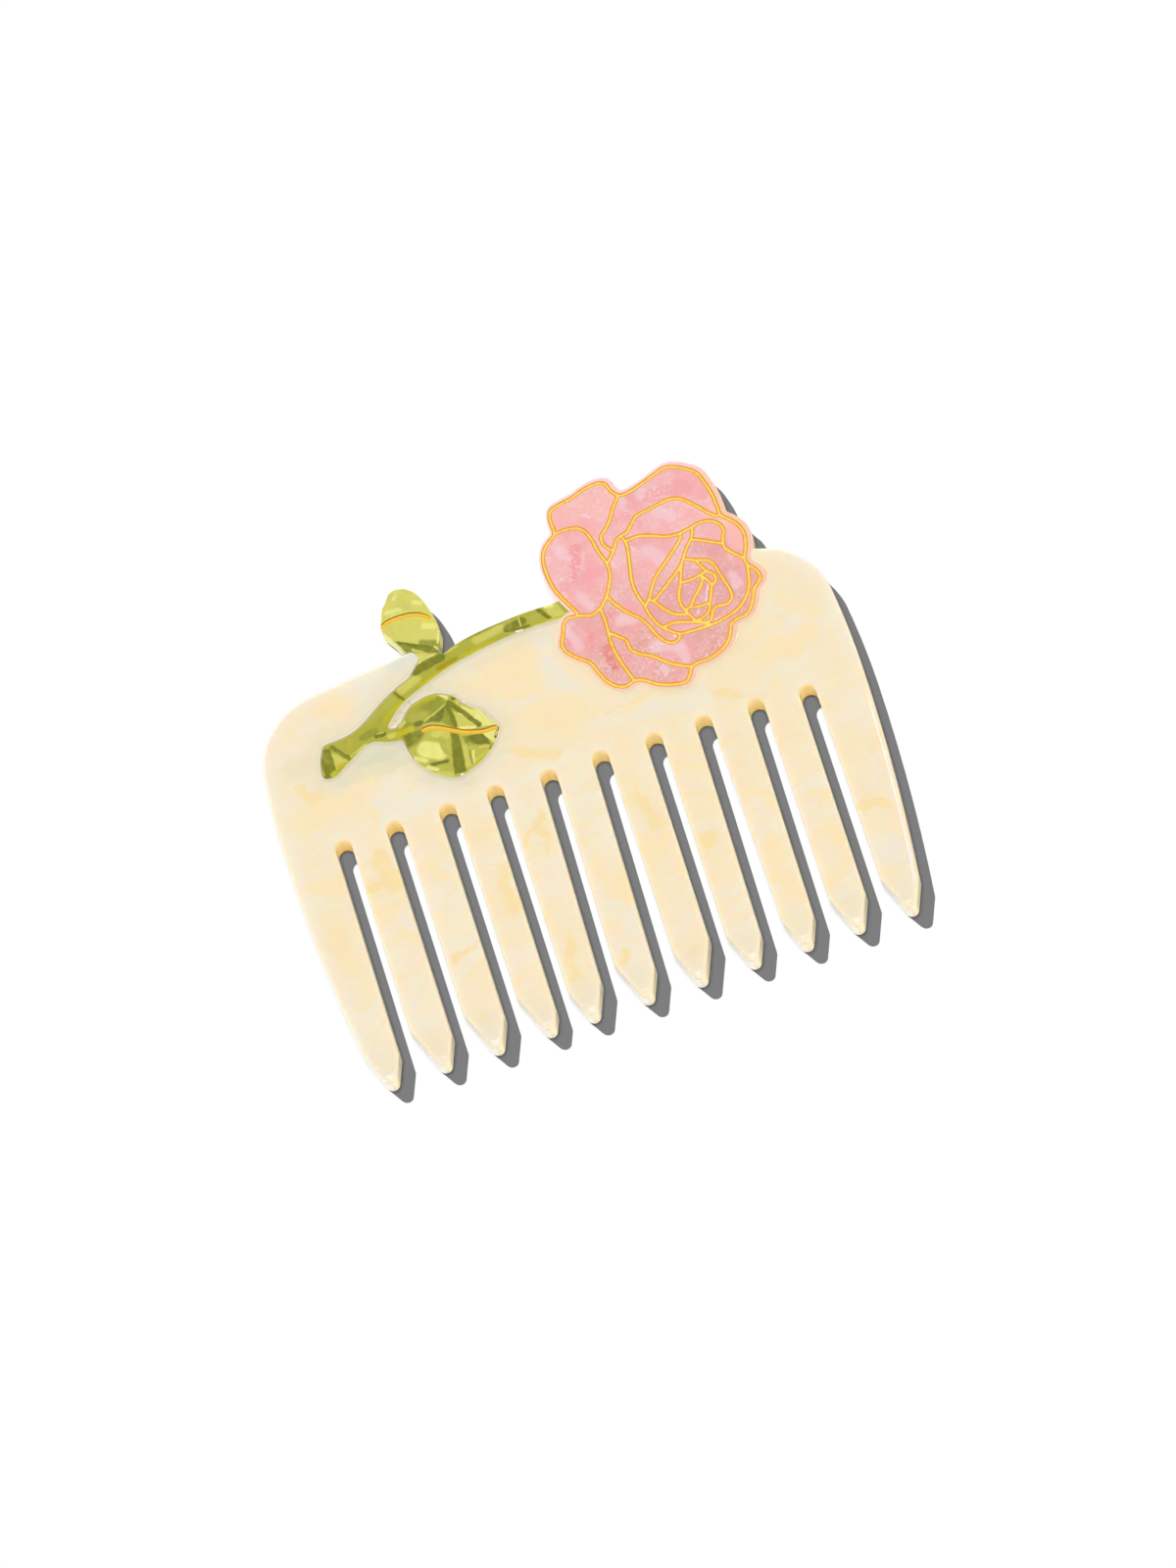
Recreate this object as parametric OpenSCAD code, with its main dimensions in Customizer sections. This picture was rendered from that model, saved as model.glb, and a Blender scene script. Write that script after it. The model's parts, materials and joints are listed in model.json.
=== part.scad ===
// Wide-tooth pocket comb, sawn from one sheet and lying on its back.
// A rose and one piece with a stem and two leaves are let into the spine, flush with both faces.
// X runs along the spine, Y from the tooth tips to the rose, Z out of the front face.

/* [Plate] */
// Width across the two outer teeth
plate_w = 100; // [96:1:108]
// Height of the spine's crown above the roots of the slots
spine_h = 28.65; // [28:0.05:31]
// Thickness of the sheet
sheet_t = 4; // [3:0.1:6]
// Radius of the two shoulders
shoulder_r = 12.8; // [10:0.2:15]

/* [Teeth] */
// Number of teeth
tooth_n = 11; // [9:1:13]
// Length of the teeth from the slot roots to the tips
tooth_len = 44.2; // [35:0.1:55]
// Width of the two end teeth at the slot roots
end_tooth_w = 8.4; // [6:0.1:9]
// Width of a slot at its round root
slot_w = 2.75; // [2:0.05:3.2]
// How far the sides of a tip lean in, in degrees
tip_lean = 21.5; // [16:0.5:28]
// Radius of a tip
tip_r = 1.1; // [0.7:0.05:1.4]

/* [Rose] */
// Distance of the rose's middle from the comb's centre line
rose_x = 21.5; // [20:0.1:23]
// Height of the rose's middle above the slot roots
rose_y = 26.9; // [25:0.1:29]
// Width of rim left outside the middle of the outermost line
rose_margin = 0.95; // [0.7:0.05:1.3]
// How far the sawn rim lies to the right of the drawn lines
rim_shift = 0.25; // [0:0.05:0.4]
// Width of the gold lines
line_w = 0.7; // [0.5:0.05:1]
// Depth of the grooves that hold the gold
groove_d = 0.6; // [0.4:0.05:1.2]

/* [Leaves] */
// Width of the gold vein of each leaf
vein_w = 0.75; // [0.5:0.05:1]
// Depth of the open slits along the lower leaf's edge
slit_d = 1.4; // [0.5:0.1:2]

/* [Fit] */
// Gap between two pieces
seam = 0.04; // [0.02:0.01:0.08]
// How far the gold stays below the face
gold_drop = 0.05; // [0:0.01:0.2]

/* [Hidden] */

// Radii of the plate's long edges: the spine's arch, and the sides above and below the slot roots
crown_r = 300;
upper_side_r = 140;
left_side_r = 290;
right_side_r = 350;
// Largest distance between an arc and the straight edges drawn along it
arc_tol = 0.012;
// Straight edges between two points of a table
curve_steps = 3;
// What a cutter reaches past the face that it opens
past = 1;
// Sides of the circle that rounds the rose's rim
rim_fn = 24;

slot_n = tooth_n - 1;
pitch = (plate_w - 2 * end_tooth_w - slot_w) / (slot_n - 1);
root_r = slot_w / 2;
// Height at which the mouth of a slot is given
mouth_y = -38;

// What saw and file left of even spacing, one row for each slot from the left. Columns: how far the
// root lies to the right and how far down, how far the mouth lies to the right and how much wider it is
slot_cuts = [
    [0.00, 0.60, -0.20, 0.00], [0.00, 0.25, 0.00, 0.00], [0.20, 0.25, 0.20, 0.05],
    [-0.35, -0.15, -0.45, 0.00], [-0.15, 0.30, -0.95, 0.05], [-0.05, 0.05, -0.45, 0.75],
    [0.25, 0.05, 0.10, 0.00], [-0.05, -0.10, 0.00, 1.10], [0.00, 0.10, -0.15, 0.40],
    [-0.15, 0.60, 0.00, 0.30]
];
// How far each tip lies to the right of its even place
tip_cuts = [0.35, 0.50, 0.60, 0.75, -0.75, -0.35, -0.10, 0.10, 0.20, 0.15, 0.40];

// Outermost line of the rose, clockwise from the notch at the upper left.
// Columns: x, y from the rose's middle
rose_edge = [
    [-12.8, 13.2], [-12.8, 15.6], [-12.3, 17.3], [-10.6, 17.9], [-8.2, 18.4], [-5.8, 19.2],
    [-3.6, 19.4], [-2.4, 18.9], [-1.8, 17.4], [-0.8, 16.1], [0.6, 16.0], [3.0, 16.6],
    [5.2, 17.4], [7.6, 18.2], [9.4, 17.8], [11.4, 16.6], [12.7, 15.3], [13.4, 13.2],
    [13.9, 11.0], [14.1, 8.6], [14.2, 6.8], [15.4, 5.5], [16.5, 4.0], [16.9, 2.2],
    [16.5, 0.0], [15.7, -1.9], [15.8, -3.1], [16.7, -4.3], [17.2, -5.6], [16.9, -6.6],
    [15.6, -7.8], [15.0, -9.2], [14.3, -10.6], [13.1, -11.7], [11.2, -12.0], [10.2, -12.6],
    [9.6, -14.0], [8.7, -15.4], [7.2, -16.4], [5.2, -17.1], [3.2, -17.2], [1.9, -17.5],
    [1.1, -18.9], [0.0, -19.8], [-2.2, -19.4], [-4.4, -18.5], [-6.2, -17.1], [-7.8, -16.6],
    [-9.4, -17.1], [-11.0, -16.4], [-12.2, -15.0], [-13.0, -13.0], [-13.8, -11.0], [-15.4, -9.6],
    [-16.8, -8.0], [-17.3, -6.3], [-16.6, -4.7], [-15.9, -2.9], [-14.9, -2.1], [-13.3, -2.2],
    [-13.9, -0.4], [-15.1, 2.1], [-15.8, 4.2], [-16.1, 6.8], [-16.0, 9.0], [-15.3, 10.9],
    [-14.2, 12.0]
];

// Lines inside the rose, one row for each petal edge.
// Columns of a row: the points that the line passes, each x, y from the rose's middle
petal_lines = [
    // left petal, right side and foot
    [[-12.8, 13.2], [-10.6, 13.2], [-8.9, 12.8], [-7.8, 11.6], [-7.2, 9.6], [-6.8, 7.4],
     [-6.1, 5.0], [-6.2, 2.8], [-7.0, 0.9], [-7.8, -0.5], [-9.3, -2.2], [-11.2, -2.9], [-13.3, -2.2]],
    // top petal, right side
    [[-0.8, 16.1], [-2.2, 14.4], [-3.3, 12.6], [-4.3, 11.3], [-5.5, 10.2], [-5.8, 9.2],
     [-5.4, 8.0], [-4.5, 6.9]],
    // right petal, inner side
    [[-6.1, 5.0], [-4.5, 6.7], [-3.5, 8.4], [-2.5, 9.0], [-1.3, 9.3], [-0.3, 10.3], [0.9, 11.5],
     [3.0, 11.9], [5.2, 12.3], [7.0, 12.5], [8.8, 11.9], [10.4, 10.3], [12.0, 8.4], [13.2, 7.1],
     [14.2, 6.8]],
    // second ring, left side and foot
    [[-2.5, 9.0], [-2.1, 7.8], [-2.1, 6.2], [-2.6, 3.4], [-3.1, 0.6], [-3.0, -1.8], [-2.4, -4.2],
     [-2.0, -6.4], [-1.3, -8.2], [-0.2, -9.6], [1.7, -11.2], [4.2, -11.4], [6.8, -11.5],
     [9.6, -11.1], [12.2, -10.2], [14.2, -8.4], [15.2, -6.4], [15.6, -4.4], [15.8, -3.1]],
    // second ring, top and right side
    [[-2.1, 7.8], [0.2, 7.9], [2.2, 7.3], [4.4, 6.3], [6.6, 6.0], [9.0, 6.4], [11.0, 6.7],
     [12.8, 6.1], [13.9, 4.4], [13.4, 2.8], [13.1, 1.2], [14.0, -0.2], [15.6, -1.9]],
    // long slanting petal, outer and inner side
    [[6.9, 6.0], [6.6, 5.0], [4.9, 3.4], [2.8, 1.6], [0.9, 0.0], [-0.4, -1.9], [-1.3, -3.4],
     [-2.3, -4.6]],
    [[9.2, 6.4], [8.4, 4.5], [7.0, 2.9], [6.0, 1.3], [5.0, 0.1], [3.2, -1.3], [1.2, -2.8],
     [-0.5, -3.9], [-1.4, -3.6]],
    // third ring, from its top to its foot
    [[8.4, 4.3], [10.4, 3.3], [12.0, 2.4], [13.2, 1.8]],
    [[6.1, 1.4], [8.0, 0.5], [9.8, -0.2], [10.7, -1.6], [11.2, -4.0], [11.8, -6.4], [11.7, -8.0],
     [10.6, -8.8], [8.8, -8.6], [8.0, -9.3], [7.4, -10.5], [6.3, -10.7]],
    [[5.6, 0.7], [4.8, -1.4], [4.3, -2.8], [3.5, -4.6], [3.4, -6.3], [4.0, -8.0], [4.9, -9.8],
     [6.3, -10.8]],
    [[-0.7, -4.1], [0.5, -6.0], [2.2, -7.7], [4.1, -8.3]],
    [[-0.6, -9.1], [1.4, -9.0], [3.4, -9.6], [5.2, -10.3], [7.0, -11.3]],
    // curl below the second ring
    [[-7.8, -0.5], [-6.9, -2.4], [-5.4, -4.5], [-3.7, -6.3], [-2.7, -8.1], [-2.0, -10.0],
     [-0.9, -11.7], [0.4, -12.4], [1.4, -11.9], [1.7, -11.1]],
    // lower left petals
    [[-9.4, -2.4], [-9.3, -4.6], [-9.4, -7.0], [-9.5, -9.4], [-9.1, -12.0], [-8.4, -14.6],
     [-7.8, -16.6]],
    [[-9.4, -6.9], [-8.0, -8.2], [-7.0, -9.3], [-6.8, -11.0], [-5.8, -12.2], [-3.8, -13.4],
     [-1.8, -15.3], [0.2, -16.7], [1.9, -17.5]],
    // heart of the rose
    [[4.5, -2.5], [6.4, -2.6], [8.0, -2.2], [9.2, -2.1], [10.2, -3.3], [10.0, -4.2], [9.2, -4.8],
     [8.6, -6.3], [7.9, -7.9], [7.3, -9.1], [5.9, -9.8], [4.9, -9.9]],
    [[8.0, 0.4], [8.6, -1.1], [9.3, -2.2]],
    [[7.9, -2.4], [8.0, -3.3], [7.0, -4.7], [5.6, -6.1], [4.8, -7.1], [3.9, -7.4]],
    [[8.2, -2.6], [8.9, -3.8], [9.2, -4.8]],
    [[4.6, -7.2], [6.2, -7.6], [7.9, -7.6]]
];

// Outlines of the green piece, clockwise.
// Columns: x from the comb's centre line, y above the slot roots
upper_leaf = [
    [-23.4, 33.1], [-23.3, 34.0], [-22.9, 35.4], [-22.4, 36.8], [-21.5, 37.9], [-20.9, 38.7],
    [-20.2, 39.5], [-19.1, 39.7], [-17.8, 39.4], [-16.7, 38.6], [-15.9, 37.5], [-15.3, 36.1],
    [-14.8, 34.4], [-14.4, 32.6], [-14.2, 31.0], [-14.3, 29.8], [-14.7, 28.7], [-15.2, 27.7],
    [-15.5, 26.7], [-16.3, 25.7], [-18.2, 25.8], [-19.0, 26.8], [-19.5, 27.8], [-20.4, 28.2],
    [-21.1, 29.0], [-21.7, 30.1], [-22.3, 31.3], [-23.0, 32.4]
];
lower_leaf = [
    [-9.9, 10.1], [-10.3, 9.3], [-11.0, 8.3], [-11.8, 7.3], [-13.0, 6.3], [-14.6, 5.2],
    [-16.2, 4.6], [-17.7, 4.0], [-19.2, 4.1], [-20.8, 4.9], [-22.3, 6.1], [-23.5, 7.5],
    [-24.5, 9.1], [-25.0, 10.9], [-25.3, 12.6], [-25.7, 13.9], [-25.7, 15.3], [-24.8, 16.4],
    [-23.8, 17.6], [-22.6, 18.6], [-21.1, 19.1], [-19.4, 19.4], [-17.8, 19.2], [-16.2, 18.4],
    [-14.9, 17.4], [-14.2, 16.2], [-13.0, 14.9], [-11.6, 13.7], [-11.1, 12.5], [-10.6, 11.5]
];
stem = [
    [-39.8, 12.0], [-39.5, 14.0], [-38.9, 15.6], [-38.2, 16.7], [-36.8, 16.9], [-35.0, 17.0],
    [-33.0, 17.4], [-31.0, 18.3], [-29.0, 19.6], [-27.0, 20.9], [-25.0, 22.0], [-23.0, 22.9],
    [-21.5, 23.5], [-20.3, 24.7], [-19.2, 25.8], [-17.9, 26.7], [-16.3, 26.7], [-15.2, 26.1],
    [-14.2, 26.1], [-13.2, 26.6], [-11.0, 27.2], [-8.0, 27.7], [-5.0, 28.0], [-2.0, 28.2],
    [1.0, 28.3], [4.6, 28.2], [9.5, 28.2], [9.5, 25.4], [4.6, 25.3], [2.0, 25.4],
    [-1.0, 25.3], [-4.0, 25.1], [-7.0, 24.8], [-10.0, 24.3], [-13.0, 23.7], [-16.0, 22.9],
    [-19.0, 21.8], [-21.5, 20.8], [-24.0, 19.6], [-25.7, 18.2], [-27.1, 16.7], [-27.0, 16.1],
    [-26.0, 15.8], [-24.9, 16.2], [-24.6, 14.3], [-26.0, 13.6], [-28.0, 14.0], [-30.2, 14.8],
    [-32.2, 14.4], [-34.2, 13.2], [-35.5, 12.5], [-37.2, 11.4], [-38.6, 11.0], [-39.5, 11.2]
];
// Gold veins, from the left end. Columns: x, y as the outlines
upper_vein = [
    [-23.0, 34.1], [-22.2, 34.5], [-21.0, 34.7], [-19.8, 34.7], [-18.4, 34.6], [-17.0, 34.2],
    [-16.0, 33.6], [-15.3, 32.9]
];
lower_vein = [
    [-21.8, 14.0], [-20.8, 14.1], [-19.6, 13.7], [-18.3, 13.0], [-17.0, 12.2], [-15.6, 11.4],
    [-14.0, 10.8], [-12.4, 10.4], [-11.0, 10.4], [-10.4, 10.3]
];
// Open slits beside the lower leaf. Columns: x, y of the middle, angle, length, width
slits = [
    [-14.6, 16.9, -62, 2.0, 0.36],
    [-10.5, 9.3, 58, 1.7, 0.40],
    [-26.3, 15.9, -8, 1.4, 0.30],
    [-11.0, 12.5, -68, 1.6, 0.20]
];
// Corners of the space over the stem, where the stem itself is the comb's top edge
over_stem_low = [-18.5, 25.8];
over_stem_high = [9, 45];

function turned(a) = [cos(a), sin(a)];
function angle_to(from, to) = atan2(to.y - from.y, to.x - from.x);
function mirrored(p) = [for (i = [len(p) - 1:-1:0]) [-p[i].x, p[i].y]];

// Points on an arc about c, both ends included, from angle a0 to angle a1
function arc(c, r, a0, a1) =
    let (n = max(2, ceil(r * abs(a1 - a0) * PI / 180 / sqrt(8 * r * arc_tol))))
    [for (i = [0:n]) c + r * turned(a0 + (a1 - a0) * i / n)];

// Where two circles meet, on the left of the way from the first middle to the second
function meet(c1, r1, c2, r2) =
    let (d = norm(c2 - c1), u = (c2 - c1) / d, a = (r1 * r1 - r2 * r2 + d * d) / (2 * d))
    c1 + a * u + sqrt(r1 * r1 - a * a) * [-u.y, u.x];

// A smooth curve through four points, between the middle two
function between(a, b, c, d, t) =
    (2 * b + (c - a) * t + (2 * a - 5 * b + 4 * c - d) * t * t + (3 * b - a - 3 * c + d) * t * t * t) / 2;
function closed_curve(p) =
    let (n = len(p))
    [for (i = [0:n - 1], k = [0:curve_steps - 1])
        between(p[(i + n - 1) % n], p[i], p[(i + 1) % n], p[(i + 2) % n], k / curve_steps)];
function open_curve(p) =
    let (n = len(p))
    [for (i = [0:n - 2], k = [0:curve_steps - (i == n - 2 ? 0 : 1)])
        between(p[max(i - 1, 0)], p[i], p[i + 1], p[min(i + 2, n - 1)], k / curve_steps)];

// A band of even width along a curve, with round ends
function side_of(p, off) =
    [for (i = [0:len(p) - 1])
        let (d = p[min(i + 1, len(p) - 1)] - p[max(i - 1, 0)])
        p[i] + off * [-d.y, d.x] / norm(d)];
function round_end(from, at, w) =
    let (a = angle_to(from, at), round = arc(at, w / 2, a + 90, a - 90))
    [for (i = [1:len(round) - 2]) round[i]];
function ribbon(p, w) =
    let (n = len(p), right = side_of(p, -w / 2))
    concat(
        side_of(p, w / 2), round_end(p[n - 2], p[n - 1], w),
        [for (i = [n - 1:-1:0]) right[i]], round_end(p[1], p[0], w)
    );

// Where the line through a and b crosses the line through c and d
function crossing(a, b, c, d) =
    let (u = b - a, v = d - c) a + u * cross(c - a, v) / cross(u, v);
// Where the way from p along the unit vector d leaves the circle about c
function leaving(p, d, c, r) =
    let (b = d * (p - c)) p + d * (sqrt(b * b - (p - c) * (p - c) + r * r) - b);

// Slot j, counted from the left: its even place, the middle of its round root, and its two walls,
// where side is -1 for the left one and 1 for the right one
function slot_x(j) = (j - (slot_n - 1) / 2) * pitch;
function cut(j) = slot_cuts[j % len(slot_cuts)];
function root_c(j) = [slot_x(j) + cut(j)[0], -root_r - cut(j)[1]];
function wall_top(j, side) = root_c(j) + [side * root_r, 0];
function wall_low(j, side) = [slot_x(j) + cut(j)[2] + side * (slot_w + cut(j)[3]) / 2, mouth_y];

// Middles of the plate's large arcs on the right, and of the shoulder between them
upper_side_c = [plate_w / 2 - upper_side_r, 0];
crown_c = [0, spine_h - crown_r];
shoulder_c = meet(upper_side_c, upper_side_r - shoulder_r, crown_c, crown_r - shoulder_r);
function side_c(r) = [plate_w / 2 - r, 0];

// Tooth k: the middle of its tip, and the corner where a side of the tip begins.
// side is -1 for the left one and 1 for the right one
function tip_c(k) =
    [(k - (tooth_n - 1) / 2) * pitch + tip_cuts[k % len(tip_cuts)], tip_r - tooth_len];
function tip_corner(k, side) =
    let (at = tip_c(k) + tip_r * [side * cos(tip_lean), -sin(tip_lean)],
         up = [side * sin(tip_lean), cos(tip_lean)],
         j = side < 0 ? k - 1 : k)
    j < 0 ? leaving(at, up, -side_c(left_side_r), left_side_r) :
    j == slot_n ? leaving(at, up, side_c(right_side_r), right_side_r) :
    crossing(wall_top(j, -side), wall_low(j, -side), at, at + up);

// A whole tooth from right to left, and the round root of the slot on its left
function tooth(k) =
    concat([tip_corner(k, 1)], arc(tip_c(k), tip_r, -tip_lean, tip_lean - 180), [tip_corner(k, -1)]);
function root(j) = arc(root_c(j), root_r, 0, 180);

// Right half of the spine from the crown to the slot roots, and the side below it down to a corner
shoulder =
    let (from_crown = angle_to(crown_c, shoulder_c),
         to_side = angle_to(upper_side_c, shoulder_c),
         top = arc(crown_c, crown_r, 90, from_crown),
         corner = arc(shoulder_c, shoulder_r, from_crown, to_side),
         side = arc(upper_side_c, upper_side_r, to_side, 0))
    concat(top, [for (i = [1:len(corner) - 1]) corner[i]], [for (i = [1:len(side) - 1]) side[i]]);
function half_edge(r, corner) =
    let (side = arc(side_c(r), r, 0, angle_to(side_c(r), corner)))
    concat(shoulder, [for (i = [1:len(side) - 2]) side[i]]);
left_edge = mirrored(half_edge(left_side_r, mirrored([tip_corner(0, -1)])[0]));

plate_outline = concat(
    half_edge(right_side_r, tip_corner(tooth_n - 1, 1)),
    [for (k = [tooth_n - 1:-1:0]) each concat(tooth(k), k > 0 ? root(k - 1) : [])],
    [for (i = [0:len(left_edge) - 2]) left_edge[i]]
);

// The comb's middle between the tips and the rose's highest point, which is the origin
rose_top = rose_y + max([for (p = closed_curve(rose_edge)) p.y]) + rose_margin;
mid_y = (rose_top - tooth_len) / 2;

module placed() {
    translate([0, -mid_y, 0]) children();
}

module line(points, w) {
    polygon(ribbon(open_curve(points), w));
}

module rose_outline() {
    translate([rose_x + rim_shift, rose_y])
        offset(r = rose_margin, $fn = rim_fn) polygon(closed_curve(rose_edge));
}

// The whole net of lines. grow widens it for its groove
module rose_lines(grow) {
    translate([rose_x, rose_y]) offset(delta = grow) {
        difference() {
            offset(delta = line_w / 2) polygon(closed_curve(rose_edge));
            offset(delta = -line_w / 2) polygon(closed_curve(rose_edge));
        }
        for (points = petal_lines) line(points, line_w);
    }
}

// Both leaves and the stem as one outline, which the offset joins
module green_outline() {
    offset(delta = 0) difference() {
        for (edge = [upper_leaf, lower_leaf, stem]) polygon(closed_curve(edge));
        offset(delta = seam) rose_outline();
    }
}

// A vein that ends at the leaf's edge. grow widens it for its groove
module vein_outline(points, grow) {
    offset(delta = grow) intersection() {
        line(points, vein_w);
        green_outline();
    }
}

// A groove in the front face, and the gold that lies in it
module groove() {
    translate([0, 0, sheet_t - groove_d]) linear_extrude(groove_d + past) children();
}
module inlaid_gold() {
    translate([0, 0, sheet_t - groove_d + seam]) linear_extrude(groove_d - seam - gold_drop) children();
}

module comb_plate() {
    color("wheat") placed() linear_extrude(sheet_t) difference() {
        polygon(plate_outline);
        offset(delta = seam) {
            rose_outline();
            green_outline();
        }
        translate(over_stem_low) square(over_stem_high - over_stem_low);
    }
}

module rose() {
    color("lightpink") placed() difference() {
        linear_extrude(sheet_t) rose_outline();
        groove() rose_lines(seam);
    }
}

module rose_gold_lines() {
    color("goldenrod") placed() inlaid_gold() rose_lines(0);
}

module stem_and_leaves() {
    color("olivedrab") placed() difference() {
        linear_extrude(sheet_t) green_outline();
        groove() vein_outline(upper_vein, seam);
        groove() vein_outline(lower_vein, seam);
        for (s = slits)
            translate([s[0], s[1], sheet_t - slit_d]) rotate(s[2])
                translate([-s[3] / 2, -s[4] / 2, 0]) cube([s[3], s[4], slit_d + past]);
    }
}

module upper_leaf_vein() {
    color("goldenrod") placed() inlaid_gold() vein_outline(upper_vein, 0);
}

module lower_leaf_vein() {
    color("goldenrod") placed() inlaid_gold() vein_outline(lower_vein, 0);
}

comb_plate();
rose();
rose_gold_lines();
stem_and_leaves();
upper_leaf_vein();
lower_leaf_vein();
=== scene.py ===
import json
from math import cos, hypot, radians, sin

import bpy
import numpy as np
from mathutils import Matrix, Vector
from mathutils.bvhtree import BVHTree

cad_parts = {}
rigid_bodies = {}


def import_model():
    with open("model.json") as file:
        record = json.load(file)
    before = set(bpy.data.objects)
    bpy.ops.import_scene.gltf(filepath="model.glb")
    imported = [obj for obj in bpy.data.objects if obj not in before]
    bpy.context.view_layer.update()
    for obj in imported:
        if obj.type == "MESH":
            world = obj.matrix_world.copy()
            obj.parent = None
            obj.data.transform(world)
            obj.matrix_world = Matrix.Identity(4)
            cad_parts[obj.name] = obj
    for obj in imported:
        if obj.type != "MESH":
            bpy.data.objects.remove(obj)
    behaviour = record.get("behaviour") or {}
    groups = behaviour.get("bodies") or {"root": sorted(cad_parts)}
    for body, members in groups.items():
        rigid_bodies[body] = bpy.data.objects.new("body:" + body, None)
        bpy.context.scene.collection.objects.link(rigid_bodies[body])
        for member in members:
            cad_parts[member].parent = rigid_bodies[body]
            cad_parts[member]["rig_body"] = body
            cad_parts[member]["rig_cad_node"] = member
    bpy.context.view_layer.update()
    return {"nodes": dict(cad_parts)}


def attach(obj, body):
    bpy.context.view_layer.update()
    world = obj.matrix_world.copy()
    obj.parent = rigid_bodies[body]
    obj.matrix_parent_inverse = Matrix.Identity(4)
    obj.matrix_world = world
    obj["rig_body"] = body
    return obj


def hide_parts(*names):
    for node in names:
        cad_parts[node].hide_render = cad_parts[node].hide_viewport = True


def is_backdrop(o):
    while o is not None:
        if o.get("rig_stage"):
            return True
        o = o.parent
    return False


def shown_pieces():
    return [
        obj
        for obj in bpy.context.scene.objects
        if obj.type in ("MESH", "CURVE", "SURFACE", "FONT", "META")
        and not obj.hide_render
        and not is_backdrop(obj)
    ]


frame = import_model()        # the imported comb, which stays where it is
body = "root"

mm = 0.001
weld = 0.002 * mm  # points closer than this are one
near = 0.01 * mm  # heights closer than this are the same
touching = 0.1 * mm  # pieces closer than this share a seam
upright = 0.1  # a wall's normal rises less than this
lying = 0.999  # a flat face's normal rises more than this
flatTurn = radians(0.2)  # faces that turn less than this are one


# Small helpers for working on one piece at a time

def makeActive(piece):
    if bpy.context.object and bpy.context.object.mode != "OBJECT":
        bpy.ops.object.mode_set(mode="OBJECT")
    bpy.ops.object.select_all(action="DESELECT")
    piece.select_set(True)
    bpy.context.view_layer.objects.active = piece


def cleanCopy(nodeName, pieceName):
    makeActive(frame["nodes"][nodeName])
    bpy.ops.object.duplicate()
    piece = bpy.context.object
    piece.name = pieceName
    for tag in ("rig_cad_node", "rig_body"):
        if tag in piece:
            del piece[tag]
    bpy.ops.object.parent_clear(type="CLEAR_KEEP_TRANSFORM")
    bpy.ops.mesh.customdata_custom_splitnormals_clear()
    bpy.ops.object.mode_set(mode="EDIT")
    bpy.ops.mesh.select_all(action="SELECT")
    bpy.ops.mesh.remove_doubles(threshold=weld)
    bpy.ops.mesh.dissolve_limited(angle_limit=flatTurn)
    bpy.ops.object.mode_set(mode="OBJECT")
    return piece


def selectFaces(piece, wanted):
    # leaves the piece in edit mode with only the wanted faces selected
    makeActive(piece)
    bpy.ops.object.mode_set(mode="EDIT")
    bpy.ops.mesh.select_mode(type="FACE")
    bpy.ops.mesh.select_all(action="DESELECT")
    bpy.ops.object.mode_set(mode="OBJECT")
    for face in piece.data.polygons:
        face.select = wanted(face)
    bpy.ops.object.mode_set(mode="EDIT")


def surfaceOf(*nodeNames):
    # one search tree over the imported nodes, for distances to them
    verts, faces = [], []
    for name in nodeNames:
        mesh = frame["nodes"][name].data
        first = len(verts)
        verts += [v.co.copy() for v in mesh.vertices]
        faces += [[first + i for i in p.vertices] for p in mesh.polygons]
    return BVHTree.FromPolygons(verts, faces)


def distanceTo(tree, point, most=1 * mm):
    found = tree.find_nearest(point, most)
    return found[3] if found[0] is not None else most


def wallsOf(mesh, least=0, awayFrom=None):
    # a search tree over the upright faces higher than the least, and away from the other surface
    verts, faces = [], []
    for face in mesh.polygons:
        corners = [mesh.vertices[i].co.copy() for i in face.vertices]
        height = max(c.z for c in corners) - min(c.z for c in corners)
        apart = awayFrom is None or distanceTo(awayFrom, face.center) > touching
        if abs(face.normal.z) < upright and height > least and apart:
            faces.append(list(range(len(verts), len(verts) + len(corners))))
            verts += corners
    return BVHTree.FromPolygons(verts, faces)


def edgeFaces(mesh):
    around = {}
    for face in mesh.polygons:
        for key in face.edge_keys:
            around.setdefault(key, []).append(face)
    return around


def crossingCorners(outline):
    # the corners of a flat outline whose sides cross other sides
    start = np.array([[p.x, p.y] for p in outline])
    along = np.roll(start, -1, axis=0) - start
    apart = start[None] - start[:, None]
    turn = along[:, None, 0] * along[None, :, 1] - along[:, None, 1] * along[None, :, 0]
    turn[turn == 0] = 1e30  # sides that run the same way never cross
    here = (apart[..., 0] * along[None, :, 1] - apart[..., 1] * along[None, :, 0]) / turn
    there = (apart[..., 0] * along[:, None, 1] - apart[..., 1] * along[:, None, 0]) / turn
    low, high = 1e-5, 1 - 1e-5  # sides that only meet at their ends don't count
    inside = (here > low) & (here < high) & (there > low) & (there < high)
    count = len(outline)
    return {(int(i) + k) % count for i in np.nonzero(inside.any(axis=1))[0] for k in (0, 1)}


rounding = dict(
    ringGap=0.002 * mm,  # between the new rings until they are moved
    least=0.02 * mm,  # at corners too sharp to be rounded
    sharpest=0.3,  # there the walls' normals add up to less than this
    longest=2,  # a corner moves in by at most so many widths
    enough=0.03 * mm,  # a rim this narrow needs no more room
    room=0.95, narrower=0.9,  # the free share of its width, and the step to get there
    slope=0.5,  # how fast the width may change along a rim
    shortest=0.03,  # the share of its length that a rim's side keeps
    shrink=0.85, rounds=80,  # the steps for rims that would cross themselves
)


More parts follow.
